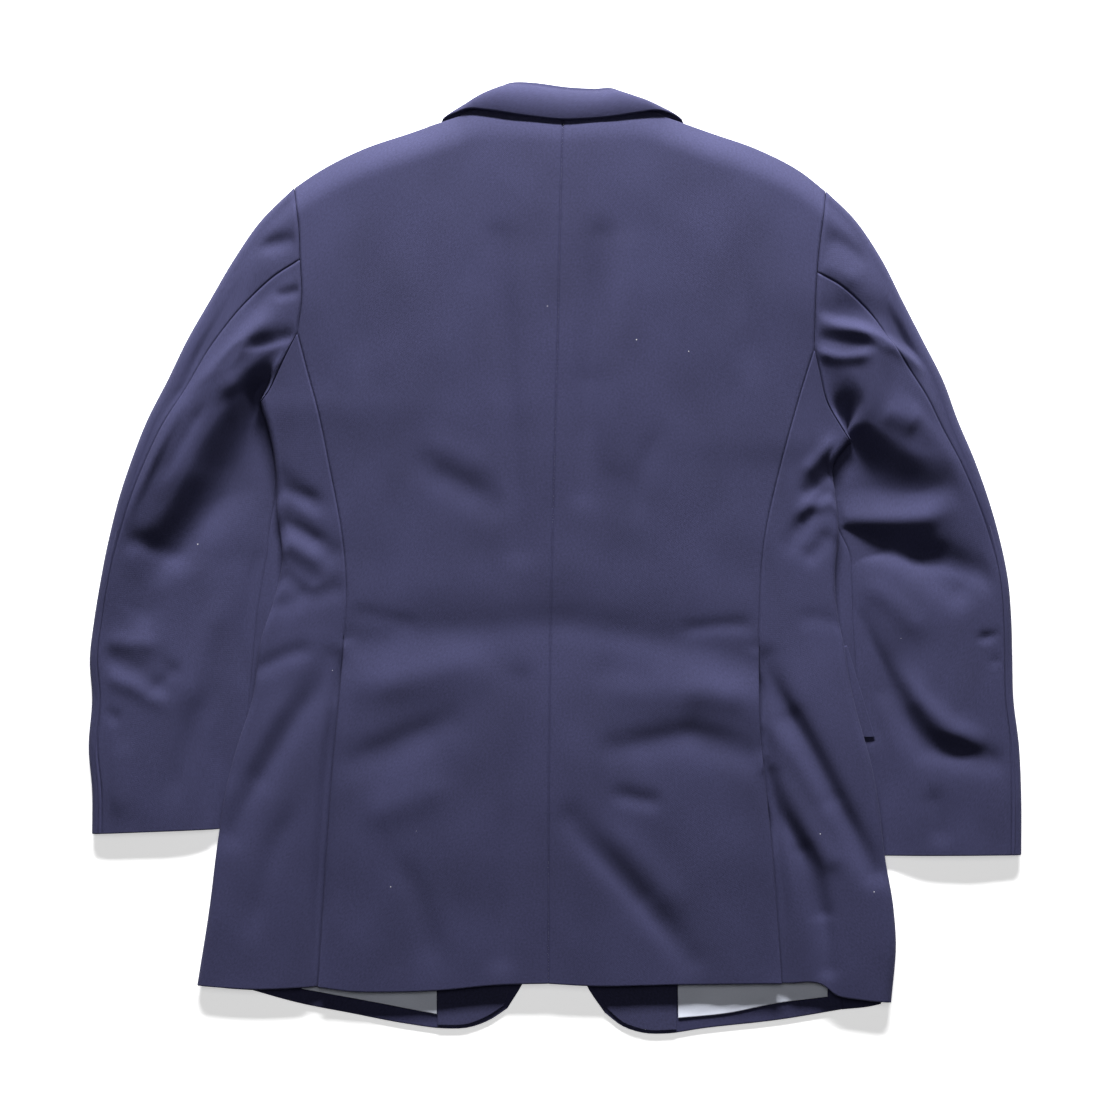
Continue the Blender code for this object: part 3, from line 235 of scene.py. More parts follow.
# Sleeves: a ring from the armhole to the cuff, its two ends in plan and its heights on the way across.
Ring = namedtuple("Ring", "outerX outerY innerX innerY zOut zThird zFar zIn")
sleeveRings = {
    -1: [
        Ring(-230, 328, -260, 137, 9, 22, 23, 15), Ring(-259, 299, -260.8, 136.6, 17, 27, 26, 10),
        Ring(-283, 264, -260.4, 134.6, 21, 31, 28, 7), Ring(-304, 228, -257.5, 130, 23, 33, 30, 5),
        Ring(-324, 193, -251, 119, 24, 33, 28, 4.7), Ring(-341, 158, -245, 101, 24, 33, 25, 4.7),
        Ring(-359, 123, -239, 78, 23, 31, 23, 4.7), Ring(-373, 88, -235, 53, 21, 28, 17, 4.7),
        Ring(-385, 52, -234, 26, 19, 21, 12.5, 4.7), Ring(-395, 12, -232, 1, 16, 14, 10, 4.7),
        Ring(-401, -18, -235, -20, 14, 12, 10.5, 4.7), Ring(-407, -53, -242, -53, 11, 11, 10.8, 4.7),
        Ring(-411, -88, -248, -88, 10.5, 11.5, 11, 4.7), Ring(-409, -124, -254, -122, 10, 12.5, 12, 4.7),
        Ring(-412, -165, -260, -162, 10, 12, 11, 4.7), Ring(-409, -204, -262, -200, 10, 11.5, 10.5, 4.7),
        Ring(-409, -242.5, -263, -237, 9.5, 10.5, 9.5, 4.7),
    ],
    1: [
        Ring(239, 325, 260, 104, 9, 22, 23, 15), Ring(265, 299, 261, 103, 16, 28, 26, 10),
        Ring(288, 264, 260.4, 101.6, 20, 31, 28, 7), Ring(306, 228, 253, 98, 22, 32, 29, 5),
        Ring(324, 193, 239, 88, 22, 31, 28, 4.7), Ring(342, 158, 230, 74, 20, 30, 24, 4.7),
        Ring(355, 123, 226, 58, 19, 27, 19, 4.7), Ring(370, 88, 228, 42, 17, 23, 15, 4.7),
        Ring(383, 52, 233, 22, 15, 18, 13, 4.7), Ring(393, 17, 239, 1, 13, 14, 11.5, 4.7),
        Ring(400, -18, 239, -20, 13, 14, 13, 4.7), Ring(403, -53, 242, -54, 12, 14, 13, 4.7),
        Ring(404, -88, 247, -90, 11, 13, 12, 4.7), Ring(405, -124, 252, -126, 11, 13, 11.5, 4.7),
        Ring(410, -165, 256, -166, 10, 12, 11, 4.7), Ring(412, -212, 265, -214, 10, 11.5, 10.5, 4.7),
        Ring(412, -261, 268, -262, 9.5, 10.5, 9.5, 4.7),
    ],
}
sleeve = {
    "places": [0, 0.33, 0.6, 0.9, 1],
    "armholeReach": 4,          # rings over which it leaves the armhole's curve
    "capReach": 70,             # and millimetres over which it leaves the body's height
    "underReach": 9,            # where it is the under sleeve, past this share of the way across
    "underFrom": 0.5,
    "underOver": 0.36,
    "foldEnd": 0.1,             # folds die away over this share at both sides
    "outerTurn": 9,
    "innerTurn": 5,
    "turnShare": 0.2,           # what a turned edge takes up on the way round, where the upper face is 1
    "elbowSeam": [(0, 0.30), (3, 0.20), (6, 0.06), (9, 0.0), (16, 0.0)],
    "insideSeam": [(0, 0.97), (6, 0.97), (9, 0.88), (13, 0.92), (16, 0.96)],
    "length": 620.0,
    "rows": 205,
    "seamGap": 0.0003,          # half of a seam's gap, as a share of the way across
    "underWidth": 150.0,
    "flat": 4.7,                # lowest height of the upper face
    "undulation": 0.45,
    "tuckRise": 30,             # how it may rise outside the body's edge, over tuckReach
    "tuckReach": 26,
}
sleeveFolds = {
    -1: [
        Fold(-258, 202, -330, 154, 13, 2.4), Fold(-330, 154, -383, 44, 11, 2.6),
        Fold(-258, 140, -290, 79, 17, -4.0),
        Fold(-290, 79, -334, 8, 13, -4.0), Fold(-334, 8, -372, 16, 10, -2.4), Fold(-406, -84, -370, -98, 9, -1.4),
        Fold(-370, -98, -346, -116, 9, -1.2), Fold(-245, 279, -262, 276, 8, -1.6),
    ],
    1: [
        Fold(240, 202, 285, 198, 11, 2.2), Fold(285, 198, 370, 96, 14, 2.2), Fold(262, 104, 268, 66, 13, -3.0),
        Fold(268, 66, 338, 62, 12, -2.2), Fold(252, 35, 325, 34, 11, 1.8), Fold(252, 16, 340, 2, 13, -2.8),
        Fold(340, 2, 395, -20, 12, -2.4), Fold(268, -62, 325, -168, 12, -1.8), Fold(325, -168, 404, -181, 11, -1.6),
        Fold(318, -126, 370, -160, 10, 1.6),
    ],
}
sleeveCreases = {
    -1: [
        # along the elbow seam, and the crest beside it
        Crease(-6.0, 16, 0.5, [
            (-218, 262), (-240, 250), (-258, 231), (-272, 211),
            (-296, 184), (-322, 160), (-350, 130), (-368, 98),
        ]),
        Crease(1.6, 8, 0.0, [(-226, 226), (-262, 200), (-300, 168), (-330, 140)]),
        Crease(-2.2, 5, 0.0, [(-216, 238), (-236, 233), (-250, 230)]),
        Crease(-2.6, 6, 0.3, [(-220, 200), (-252, 190), (-280, 184)]),
        Crease(4.0, 10, 0.2, [(-214, 172), (-240, 166), (-264, 160), (-286, 150), (-300, 134)]),
        Crease(-2.2, 7, 0.0, [(-222, 284), (-244, 277), (-264, 274)]),
        Crease(3.6, 5, 0.3, [
            (-312, 152), (-334, 120), (-350, 90), (-368, 56), (-381, 32), (-394, 14), (-400, -70),
        ]),
        Crease(-2.4, 6, 0.2, [(-300, 146), (-318, 116), (-334, 88), (-350, 58)]),
        # below the hollow
        Crease(-4.6, 15, 0.2, [(-312, 20), (-342, 6), (-358, -20), (-364, -50), (-386, -72)]),
        Crease(-0.6, 9, -0.2, [(-415, -78), (-380, -87), (-354, -95), (-326, -84)]),
        Crease(1.4, 8, 0.0, [(-408, -70), (-376, -74), (-340, -74)]),
        Crease(-1.5, 7, 0.0, [(-328, -88), (-342, -104), (-364, -126)]),
        Crease(-1.4, 6, 0.0, [(-415, -122), (-396, -135), (-379, -146)]),
        Crease(1.8, 8, 0.0, [(-408, -100), (-372, -112), (-334, -132)]),
        Crease(-1.8, 11, 0.0, [(-296, -96), (-326, -170), (-344, -236)]),
        Crease(-2.2, 6, 0.3, [(-258, 20), (-267, -40), (-272, -120)]),
        Crease(1.8, 11, 0.0, [(-290, -20), (-310, -80), (-330, -150)]),
        Crease(1.4, 9, 0.0, [(-376, -150), (-384, -190), (-386, -236)]),
    ],
    1: [
        # the strip beside the shoulder falls to the elbow seam; a sharp crest follows it
        Crease(-8.5, 13, -0.7, [(222, 228), (246, 216), (268, 211), (290, 201), (318, 183), (352, 152)]),
        Crease(3.2, 5, 0.3, [(222, 213), (242, 206), (270, 200), (289, 191), (317, 173), (350, 148)]),
        Crease(-2.2, 7, -0.3, [(218, 198), (250, 192), (290, 188)]),
        Crease(3.0, 4.5, 0.3, [(220, 186), (249, 178), (284, 180)]),
        Crease(2.4, 10, 0.0, [(246, 312), (272, 292), (296, 262), (312, 232)]),
        Crease(-2.6, 9, 0.0, [(230, 284), (258, 274), (282, 258)]),
        Crease(1.6, 7, 0.0, [(228, 262), (252, 250), (272, 240)]),
        Crease(2.2, 9, 0.3, [(288, 150), (310, 132), (334, 106), (358, 74), (370, 40)]),
        # below the hollow
        Crease(-1.6, 11, 0.3, [(262, 86), (276, 66), (298, 57), (322, 56), (350, 68)]),
        Crease(2.2, 10, 0.0, [(240, 36), (262, 34), (290, 35), (325, 38), (356, 52)]),
        Crease(-2.8, 13, -0.3, [(234, 20), (258, 16), (287, 11), (317, 3), (348, -4), (372, -13), (402, -24)]),
        Crease(-1.6, 10, -0.2, [(228, 21), (250, 17), (274, 13), (300, 8)]),
        Crease(2.0, 10, 0.0, [(282, 132), (302, 124), (322, 114)]),
        Crease(-4.6, 15, 0.0, [(296, 8), (330, -10), (356, -28), (376, -44)]),
        Crease(1.8, 11, 0.0, [(262, -14), (300, -40), (330, -76)]),
        Crease(-2.6, 11, 0.4, [
            (246, -26), (264, -58), (286, -92), (307, -126),
            (326, -156), (350, -166), (380, -174), (415, -182),
        ]),
        Crease(3.2, 10, 0.0, [(300, -84), (322, -124), (344, -150), (384, -160)]),
        Crease(-2.0, 4.5, 0.0, [(404, -60), (388, -67), (368, -70)]),
        Crease(-2.0, 4.5, 0.0, [(414, -84), (398, -89), (380, -90)]),
        Crease(-2.5, 10, 0.0, [(258, -92), (268, -122), (276, -150), (280, -172)]),
        Crease(-1.6, 10, 0.0, [(330, -196), (338, -226), (340, -258)]),
    ],
}

# Where a sleeve falls away beside the body: steeply beside it and slowly further out, between a rim and a foot.
# The spans say how far from the centre each change starts, and how far it goes on.
hollowSpans = {"body": (254, 30), "far": (270, 34), "end": (378, 62)}
Hollow = namedtuple("Hollow", "bodyWide farWide footWide left rim foot")
sleeveHollows = {
    -1: Hollow(
        26, 40, 50, 0.0,
        [(-240, 158), (-256, 152), (-268, 147), (-281, 140), (-293, 129),
         (-310, 105), (-326, 74), (-345, 46), (-372, 27)],
        [(-226, 22), (-262, 16), (-289, 4), (-310, -10), (-334, -26), (-360, -34), (-386, -30)],
    ),
    1: Hollow(
        20, 40, 64, 0.45,
        [(352, 90), (332, 92), (312, 98), (298, 106), (286, 114), (275, 120), (263, 121), (248, 119)],
        [(362, 40), (330, 30), (300, 26), (270, 28), (236, 34)],
    ),
}

# Collar: a row for each section from the left end, round the neck, to the right end.
CollarRow = namedtuple("CollarRow", "edgeX edgeY edgeZ foldX foldY foldZ bowX bowY bowZ")
collarRows = [
    CollarRow(-90.6, 253.4, 0, -50, 277.3, 0, 0, 0, 0),
    CollarRow(-102, 320, 0, -55, 326, 0, 0, 0, 0),
    CollarRow(-105, 358, 0, -60, 368, 0, 0, 0, 0),
    CollarRow(-101, 385, 0, -61, 389.5, 0.4, -1, 1, 0),
    CollarRow(-98, 391, 4, -61, 399.5, 4.4, -2, 3, -1),
    CollarRow(-88, 394, 12, -58, 408, 9.5, -2, 3, 1),
    CollarRow(-76, 396, 19.5, -51, 415, 12.5, -1, 3, 4),
    CollarRow(-58, 393.5, 23.5, -39, 419, 14.5, 0, 3, 5),
    CollarRow(-30, 389, 24.8, -18, 418, 15.5, 0, 3, 5),
    CollarRow(7, 385, 25.2, 10, 414, 16, 0, 3, 5),
    CollarRow(44, 387, 24.8, 34, 413, 15.5, 0, 3, 5),
    CollarRow(70, 391, 23.5, 52, 414, 14.5, 0, 3, 5),
    CollarRow(89, 394.5, 19.5, 66, 408, 12.5, 1, 3, 4),
    CollarRow(101, 394, 12, 74, 401, 9.5, 2, 3, 1),
    CollarRow(111, 390.5, 4, 77, 396.5, 4.4, 2, 3, -1),
    CollarRow(114, 384.5, 0, 76, 389, 0.4, 1, 1, 0),
    CollarRow(115, 358, 0, 73, 368, 0, 0, 0, 0),
    CollarRow(112, 320, 0, 66, 326, 0, 0, 0, 0),
    CollarRow(100.4, 253.4, 0, 59, 277.3, 0, 0, 0, 0),
]
lapelRoll = {
    -1: [(-50, 276.5), (-44, 225), (-23, 100), (-2, -18)],
    1: [(59, 276.5), (52, 225), (28, 100), (12, 12)],
}
lapelEdge = {
    -1: [(-122, 234), (-103, 170), (-66, 90), (-30, 20), (-12, -16)],
    1: [(131, 234), (112, 170), (74, 90), (42, 36), (22, 14)],
}
collarCover = {-1: [(-100, 400), (-107, 362), (-108, 320)], 1: [(112, 400), (118, 362), (117, 320)]}
lapelFoot = -26
coverMargin = 28
coverBorder = 32
pocketFlap = {
    -1: [[(-135, -92), (-200, -83), (-255, -78)], [(-146, -146), (-205, -140), (-261, -134)]],
    1: [[(120, -98), (190, -87), (258, -76)], [(133, -160), (200, -157), (282.5, -157)]],
}
lining = {
    -1: [[(-104.5, -348), (-160, -349), (-224, -349)], [(-104.5, -402), (-159, -391.5), (-224, -379.5)]],
    1: [[(108, -346), (170, -347), (241, -352)], [(109, -405.5), (153, -401), (195, -392.5), (241, -386.5)]],
}
facing = {
    -1: [[(-28, -348), (-70, -348), (-104, -348)], [(-46, -395), (-60, -404), (-78, -411), (-104, -412)]],
    1: [[(23, -346), (60, -346), (107.5, -346)], [(47, -398), (60, -409), (80, -416), (107.5, -416)]],
}
buttonPlaces = {"button_upper": (-3, -72), "button_lower": (-5, -158)}
button = {
    "radius": 10.0, "thick": 2.6, "rim": 1.6, "dish": 0.55, "sides": 64,
    "holeRadius": 0.85, "holeFrom": 1.9, "holeSides": 20,
}
layers = {
    "cadCloth": 2.2, "cadCollar": 2.0, "gap": 0.35, "fronts": 1.0, "flap": 1.2, "flapGap": 1.0, "button": 2.6,
    "inside": 0.25, "crossFrom": 90, "crossReach": 40,
}
lifts = {"high": 5.3, "edge": 3, "spread": 36, "top": {-1: (150, 132), 1: (118, 99)}, "end": (-275, -330)}


# Lines, grids and heights
def smoothCurve(knots, values, at):
    knots = np.asarray(knots, float)
    values = np.asarray(values, float)
    at = np.asarray(at, float)
    if len(knots) == 2:
        slopes = np.repeat((values[1:] - values[:1]) / (knots[1] - knots[0]), 2, axis=0)
    else:
        slopes = np.gradient(values, knots, axis=0)
    before = np.clip(np.searchsorted(knots, at, side="right") - 1, 0, len(knots) - 2)
    span = knots[before + 1] - knots[before]
    t = np.clip((at - knots[before]) / span, 0, 1)
    if values.ndim > 1:
        span = span[..., None]
        t = t[..., None]
    rise = t * t * (3 - 2 * t)
    start = values[before] * (1 - rise) + values[before + 1] * rise
    return start + span * (slopes[before] * t * (1 - t) ** 2 - slopes[before + 1] * t * t * (1 - t))


def runningLengths(points, axis=0):
    # the length from the start to each point, along a line or along one way of a grid
    steps = np.linalg.norm(np.diff(points, axis=axis), axis=-1)
    start = np.zeros_like(np.take(steps, [0], axis=axis))
    return np.concatenate([start, np.cumsum(steps, axis=axis)], axis=axis)


def alongLine(points, shares):
    points = np.asarray(points, float)
    knots = runningLengths(points)
    return smoothCurve(knots / knots[-1], points, shares)


def lineLength(points):
    return np.linalg.norm(np.diff(np.asarray(points, float), axis=0), axis=1).sum()


def ease(amount):
    amount = np.clip(amount, 0, 1)
    return amount * amount * (3 - 2 * amount)


def xAt(line, y):
    line = np.asarray(line, float)[::-1]
    return smoothCurve(line[:, 1], line[:, 0], np.clip(y, line[0, 1], line[-1, 1]))


def yAt(line, x):
    line = np.asarray(sorted(line), float)
    return smoothCurve(line[:, 0], line[:, 1], np.clip(x, line[0, 0], line[-1, 0]))


def movedSideways(line, distance):
    heading = np.gradient(np.asarray(line, float), axis=0)
    heading /= np.linalg.norm(heading, axis=1, keepdims=True)
    return line + np.reshape(distance, (-1, 1)) * np.stack([-heading[:, 1], heading[:, 0]], axis=1)


def distanceTo(points, x0, y0, x1, y1):
    start = np.array([x0, y0], float)
    run = np.array([x1, y1], float) - start
    share = np.clip(((points - start) @ run) / (run @ run), 0, 1)
    return np.linalg.norm(points - start - share[..., None] * run, axis=-1)


def smoothPath(knots):
    return alongLine(knots, np.linspace(0, 1, 4 * len(knots)))


def nearestOnPath(points, path):
    # distance to the path, share of the way along it, and how far to its left the point is
    runs = np.diff(path, axis=0)
    lengths = np.linalg.norm(runs, axis=1)
    passed = np.concatenate([[0], np.cumsum(lengths)])
    nearest = np.full(points.shape[:-1], 1e9)
    share = np.zeros(points.shape[:-1])
    left = np.zeros(points.shape[:-1])
    for start, run, length, before in zip(path, runs, lengths, passed):
        t = np.clip(((points - start) @ run) / (run @ run), 0, 1)
        offset = points - start - t[..., None] * run
        away = np.linalg.norm(offset, axis=-1)
        closer = away < nearest
        nearest[closer] = away[closer]
        share[closer] = ((before + t * length) / passed[-1])[closer]
        left[closer] = ((run[0] * offset[..., 1] - run[1] * offset[..., 0]) / length)[closer]
    return nearest, share, left


def foldHeights(points, folds):
    # folds of one kind run into each other without adding up
    powers = {-1: np.zeros(points.shape[:-1]), 1: np.zeros(points.shape[:-1])}
    for fold in folds:
        away = distanceTo(points, fold.x0, fold.y0, fold.x1, fold.y1)
        powers[np.sign(fold.high)] += (abs(fold.high) * np.exp(-((away / fold.wide) ** 2))) ** 4
    return powers[1] ** 0.25 - powers[-1] ** 0.25


def creaseHeights(points, creases):
    # each crease follows a smooth path, dies away at both ends and may have one flank steeper
    flat = points.reshape(-1, 2)
    total = np.zeros(len(flat))
    for crease in creases:
        path = smoothPath(crease.path)
        reach = 3 * crease.wide
        near = np.all((flat > path.min(0) - reach) & (flat < path.max(0) + reach), axis=1)
        if not near.any():
            continue
        away, share, left = nearestOnPath(flat[near], path)
        wide = crease.wide * (1 - 0.8 * crease.lean * np.tanh(left / (0.4 * crease.wide)))
        fade = ease(share / creaseEnd) * ease((1 - share) / creaseEnd)
        total[near] += crease.high * (0.15 + 0.85 * fade) * fade ** 0.5 * np.exp(-((away / wide) ** 2))
    return total.reshape(points.shape[:-1])


def signedDistance(points, knots):
    # to a smooth path, above zero on the left of the way it runs
    away, _, left = nearestOnPath(points, smoothPath(knots))
    return np.sign(left) * away


def hollowShare(points, side):
    hollow = sleeveHollows[side]
    across = np.abs(points[..., 0])
    rim = signedDistance(points, hollow.rim)
    foot = -signedDistance(points, hollow.foot)
    fromBody, fromFar = [ease((across - start) / span) for start, span in (hollowSpans["body"], hollowSpans["far"])]
    wide = hollow.bodyWide * (1 - fromBody) + hollow.farWide * fromBody
    ends = ease((hollowSpans["end"][0] - across) / hollowSpans["end"][1])
    return (1 - hollow.left * fromFar) * ease(rim / wide) * ease(foot / hollow.footWide) * ends


def undulation(points, high=0.35):
    # the slow unevenness of pressed cloth that lies on other layers
    x = points[..., 0]
    y = points[..., 1]
    waves = (
        np.sin(x / 23.0 + 0.6 * np.sin(y / 31.0) + 1.1)
        + np.sin(y / 29.0 + 0.8 * np.sin(x / 37.0) + 0.4)
        + 0.7 * np.sin((x + y) / 17.0 + np.sin(y / 41.0) + 2.2)
        + 0.6 * np.sin((x - 1.3 * y) / 19.0 + 0.9)
        + 0.35 * np.sin(x / 7.9 + 1.4 * np.sin(y / 13.0))
        + 0.35 * np.sin(y / 9.1 + 1.2 * np.sin(x / 15.0))
    )
    return high * waves / 2.4


def seamHeight(x):
    seamX, seamZ = zip(*seamHeights)
    return smoothCurve(seamX, seamZ, np.clip(x, seamX[0], seamX[-1]))


def bodyShape(points):
    x = points[..., 0]
    y = points[..., 1]
    levels, left, crown, right = np.array(bodySections[::-1], float).T
    at = np.clip(y, levels[0], levels[-1])
    left, crown, right = [smoothCurve(levels, heights, at) for heights in (left, crown, right)]
    place = 2 * (x - xAt(bodyLimit[-1], y)) / (xAt(bodyLimit[1], y) - xAt(bodyLimit[-1], y)) - 1
    side = np.where(place < 0, left, right)
    height = crown - (crown - side) * np.minimum(np.abs(place), 1) ** crownPower
    return height + foldHeights(points, bodyFolds)


def shoulderShare(points, top):
    return np.clip((yAt(top, points[..., 0]) - points[..., 1]) / shoulderRoll, 0, 1)


def bodyTop(points):
    height = bodyShape(points) + creaseHeights(points, bodyCreases) + undulation(points)
    seam = seamHeight(points[..., 0])
    rolled = shoulderShare(points, topLimit)
    return seam + (height - seam) * (1 - (1 - rolled) ** 2)


def lowestNear(points, reach=12):
    shifts = ((0, 0), (reach, 0), (-reach, 0), (0, reach), (0, -reach))
    return np.min([bodyTop(points + np.array(shift, float)) for shift in shifts], axis=0)


def liftOn(points, side):
    # the body's under layer rests on the sleeve near the body's edge
    inner = xAt([(ring.innerX, ring.innerY) for ring in sleeveRings[side]], points[..., 1])
    past = (inner - points[..., 0]) * side
    above, full = lifts["top"][side]
    start = ease((above - points[..., 1]) / (above - full))
    end = ease((points[..., 1] - lifts["end"][1]) / (lifts["end"][0] - lifts["end"][1]))
    return lifts["high"] * start * end * (1 - ease((past - lifts["edge"]) / lifts["spread"]))


def covered(outside):
    # 1 under or over a hidden piece, and 0 well clear of it
    return 1 - ease((outside - coverMargin) / coverBorder)


def overFlap(points, side):
    upper, lower = [sorted(line) for line in pocketFlap[side]]
    x = points[..., 0]
    y = points[..., 1]
    high, low = [np.mean([corner[1] for corner in line]) for line in (upper, lower)]
    down = np.clip((high - y) / (high - low), 0, 1)
    left, right = [upper[end][0] * (1 - down) + lower[end][0] * down for end in (0, -1)]
    return covered(np.max([y - yAt(upper, x), yAt(lower, x) - y, left - x, x - right], axis=0))


def overLapel(points, side):
    outside = (points[..., 0] - xAt(collarCover[side] + lapelEdge[side], points[..., 1])) * side
    return covered(np.maximum(outside, lapelFoot - points[..., 1]))


def underBody(points, side):
    return liftOn(points, side) + (layers["flap"] + layers["flapGap"]) * overFlap(points, side)


def underFront(points, side):
    height = underBody(points, side)
    for covering in (side, -1):
        height = np.maximum(height, (layers["cadCollar"] + layers["gap"]) * overLapel(points, covering))
    ends = list(buttonPlaces.values())
    near = covered(distanceTo(points, *ends[0], *ends[1]) - button["radius"])
    height = np.maximum(height, (layers["button"] + layers["gap"]) * near)
    if side > 0:
        past = xAt(frontEdge[-1], points[..., 1]) - points[..., 0]
        aboveCutaway = ease((points[..., 1] - cutaway[1]) / (cutaway[0] - cutaway[1]))
        crossing = ease((past + layers["crossFrom"]) / layers["crossReach"]) * aboveCutaway
        height = height + (layers["cadCloth"] + layers["fronts"]) * crossing
    rolled = shoulderShare(points, frontTop[side])
    turnedUp = seamHeight(points[..., 0]) - 2 * layers["cadCloth"] - layers["gap"]
    return np.maximum(height, turnedUp * (1 - rolled) ** 2)


def spotShares(length, step, first=True, last=True):
    # shares of a line, close together at the ends that are asked for
    head = np.array(edgeSpots if first else [0.0]) / length
    tail = np.array(edgeSpots if last else [0.0]) / length
    count = max(2, int(round((length * (1 - head[-1] - tail[-1])) / step)))
    middle = np.linspace(head[-1], 1 - tail[-1], count + 1)
    return np.concatenate([head[:-1], middle, (1 - tail[:-1])[::-1]])


def rowShares(widths, step):
    # the same for each row's own width, with one count for all
    count = len(spotShares(np.max(widths), step))
    limit = 0.3 * np.linspace(0, 1, len(edgeSpots))
    rows = []
    for width in widths:
        head = np.minimum(np.array(edgeSpots) / width, limit)
        middle = np.linspace(head[-1], 1 - head[-1], count - 2 * len(head) + 2)
        rows.append(np.concatenate([head[:-1], middle, (1 - head[:-1])[::-1]]))
    return np.array(rows)


def rowsBetween(first, last, top, bottom, shares, v):
    # rows of points from one side to the other; the end rows bend with the top and bottom lines
    v = v[:, None, None]
    points = first[:, None] + (last - first)[:, None] * shares[..., None]
    within = np.clip(shares, 0, 1)
    for line, weight in ((top, (1 - v) ** 3), (bottom, v ** 3)):
        line = np.asarray(line, float)
        chord = line[0] + (line[-1] - line[0]) * within[..., None]
        points = points + weight * (alongLine(line, within) - chord)
    return points


def edgeDistances(grid):
    # how far each point is from the first and last column, and from the first and last row
    across = runningLengths(grid, 1)
    down = runningLengths(grid, 0)
    return across, across[:, -1:] - across, down, down[-1:] - down


def seamDrop(distance):
    return cloth["seamDip"] * np.exp(-((distance / cloth["seamReach"]) ** 2))


def pucker(distance, along, wave):
    # ripples across a seam, strongest a few millimetres from it
    ripple = np.sin(2 * np.pi * along / wave + 1.7 * np.sin(along / 37.0))
    return cloth["pucker"] * ripple * np.exp(-((distance / cloth["puckerReach"]) ** 2))


def roundDrop(distance, thick):
    # a folded edge is round: its two faces come together over half of the thickness
    inside = np.clip(distance / (0.55 * thick), 0, 1)
    return 0.5 * thick * (1 - np.sqrt(1 - (1 - inside) ** 2)) * 0.9


def withHeight(points, heights):
    return np.concatenate([points, np.asarray(heights, float)[..., None]], axis=-1)


# Meshes
def addObject(name, data):
    made = bpy.data.objects.new(name, data)
    bpy.context.scene.collection.objects.link(made)
    return made


def clothShell(name, outer, inner, finish):
    # one closed shell between two grids of points, with the cloth's own lengths as its UV map
    rows, columns = outer.shape[:2]
    count = rows * columns
    index = np.arange(count).reshape(rows, columns)
    quads = np.stack([index[:-1, :-1], index[:-1, 1:], index[1:, 1:], index[1:, :-1]], -1).reshape(-1, 4)
    ring = np.concatenate([index[0, :-1], index[:-1, -1], index[-1, :0:-1], index[:0:-1, 0]])
    following = np.roll(ring, -1)
    rim = np.stack([following, ring, ring + count, following + count], -1)
    faces = np.concatenate([quads, quads[:, ::-1] + count, rim])
    points = np.concatenate([outer.reshape(-1, 3), inner.reshape(-1, 3)]) * mm
    a, b, c, d = points[faces].transpose(1, 0, 2)
    if (a * (np.cross(b, c) + np.cross(c, d))).sum() < 0:
        faces = faces[:, ::-1]
    mesh = bpy.data.meshes.new(name)
    mesh.from_pydata(points, [], faces.tolist())
    middle = (outer + inner) / 2
    across, _, down, _ = edgeDistances(middle)
    flat = np.stack([(across - across[:, -1:] / 2).ravel(), down.ravel()], axis=1) * mm
    flat = np.concatenate([flat, flat])
    corner = np.zeros(len(mesh.loops), int)
    mesh.loops.foreach_get("vertex_index", corner)
    mesh.uv_layers.new(name="cloth").data.foreach_set("uv", flat[corner].ravel())
    mesh.materials.append(finish)
    mesh.shade_smooth()
    mesh.update()
    made = addObject(name, mesh)
    wide = float(across[:, -1].max() * mm)
    long = float(down[-1].max() * mm)
    cells = np.cross(middle[1:, 1:] - middle[:-1, :-1], middle[1:, :-1] - middle[:-1, 1:])
    area = float(np.linalg.norm(cells, axis=2).sum() / 2 * mm * mm)
    made["cut"] = (wide, long, min(area, wide * long))
    return made


def layCloth(piece, node):
    del piece["cut"]
    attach(piece, "root")
    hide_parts(node)


# Finishes
def nodeAt(tree, kind, x, y, inputs=(), **settings):
    # inputs are numbers and colours, or sockets to link
    node = tree.nodes.new(kind)
    node.location = (x, y)
    for key, value in settings.items():
        setattr(node, key, value)
    for key, value in dict(inputs).items():
        if isinstance(value, bpy.types.NodeSocket):
            tree.links.new(value, node.inputs[key])
        else:
            node.inputs[key].default_value = value
    return node


def mathNode(tree, operation, x, y, *values):
    return nodeAt(tree, "ShaderNodeMath", x, y, enumerate(values), operation=operation).outputs[0]


def newGroup(name, kind, inputs, outputs):
    # an empty node group; gives it, what comes in and what goes out
    group = bpy.data.node_groups.new(name, kind)
    for label, socketKind, value in inputs:
        socket = group.interface.new_socket(name=label, in_out="INPUT", socket_type="NodeSocket" + socketKind)
        if value is not None:
            socket.default_value = value
    for label, socketKind in outputs:
        group.interface.new_socket(name=label, in_out="OUTPUT", socket_type="NodeSocket" + socketKind)
    given = nodeAt(group, "NodeGroupInput", -1200, 0).outputs
    return group, given, nodeAt(group, "NodeGroupOutput", 900, 0).inputs


def newFinish(name, inputs):
    made = bpy.data.materials.new(name)
    made.use_nodes = True
    shader = made.node_tree.nodes["Principled BSDF"]
    for key, value in inputs.items():
        shader.inputs[key].default_value = value
    return made, made.node_tree, shader


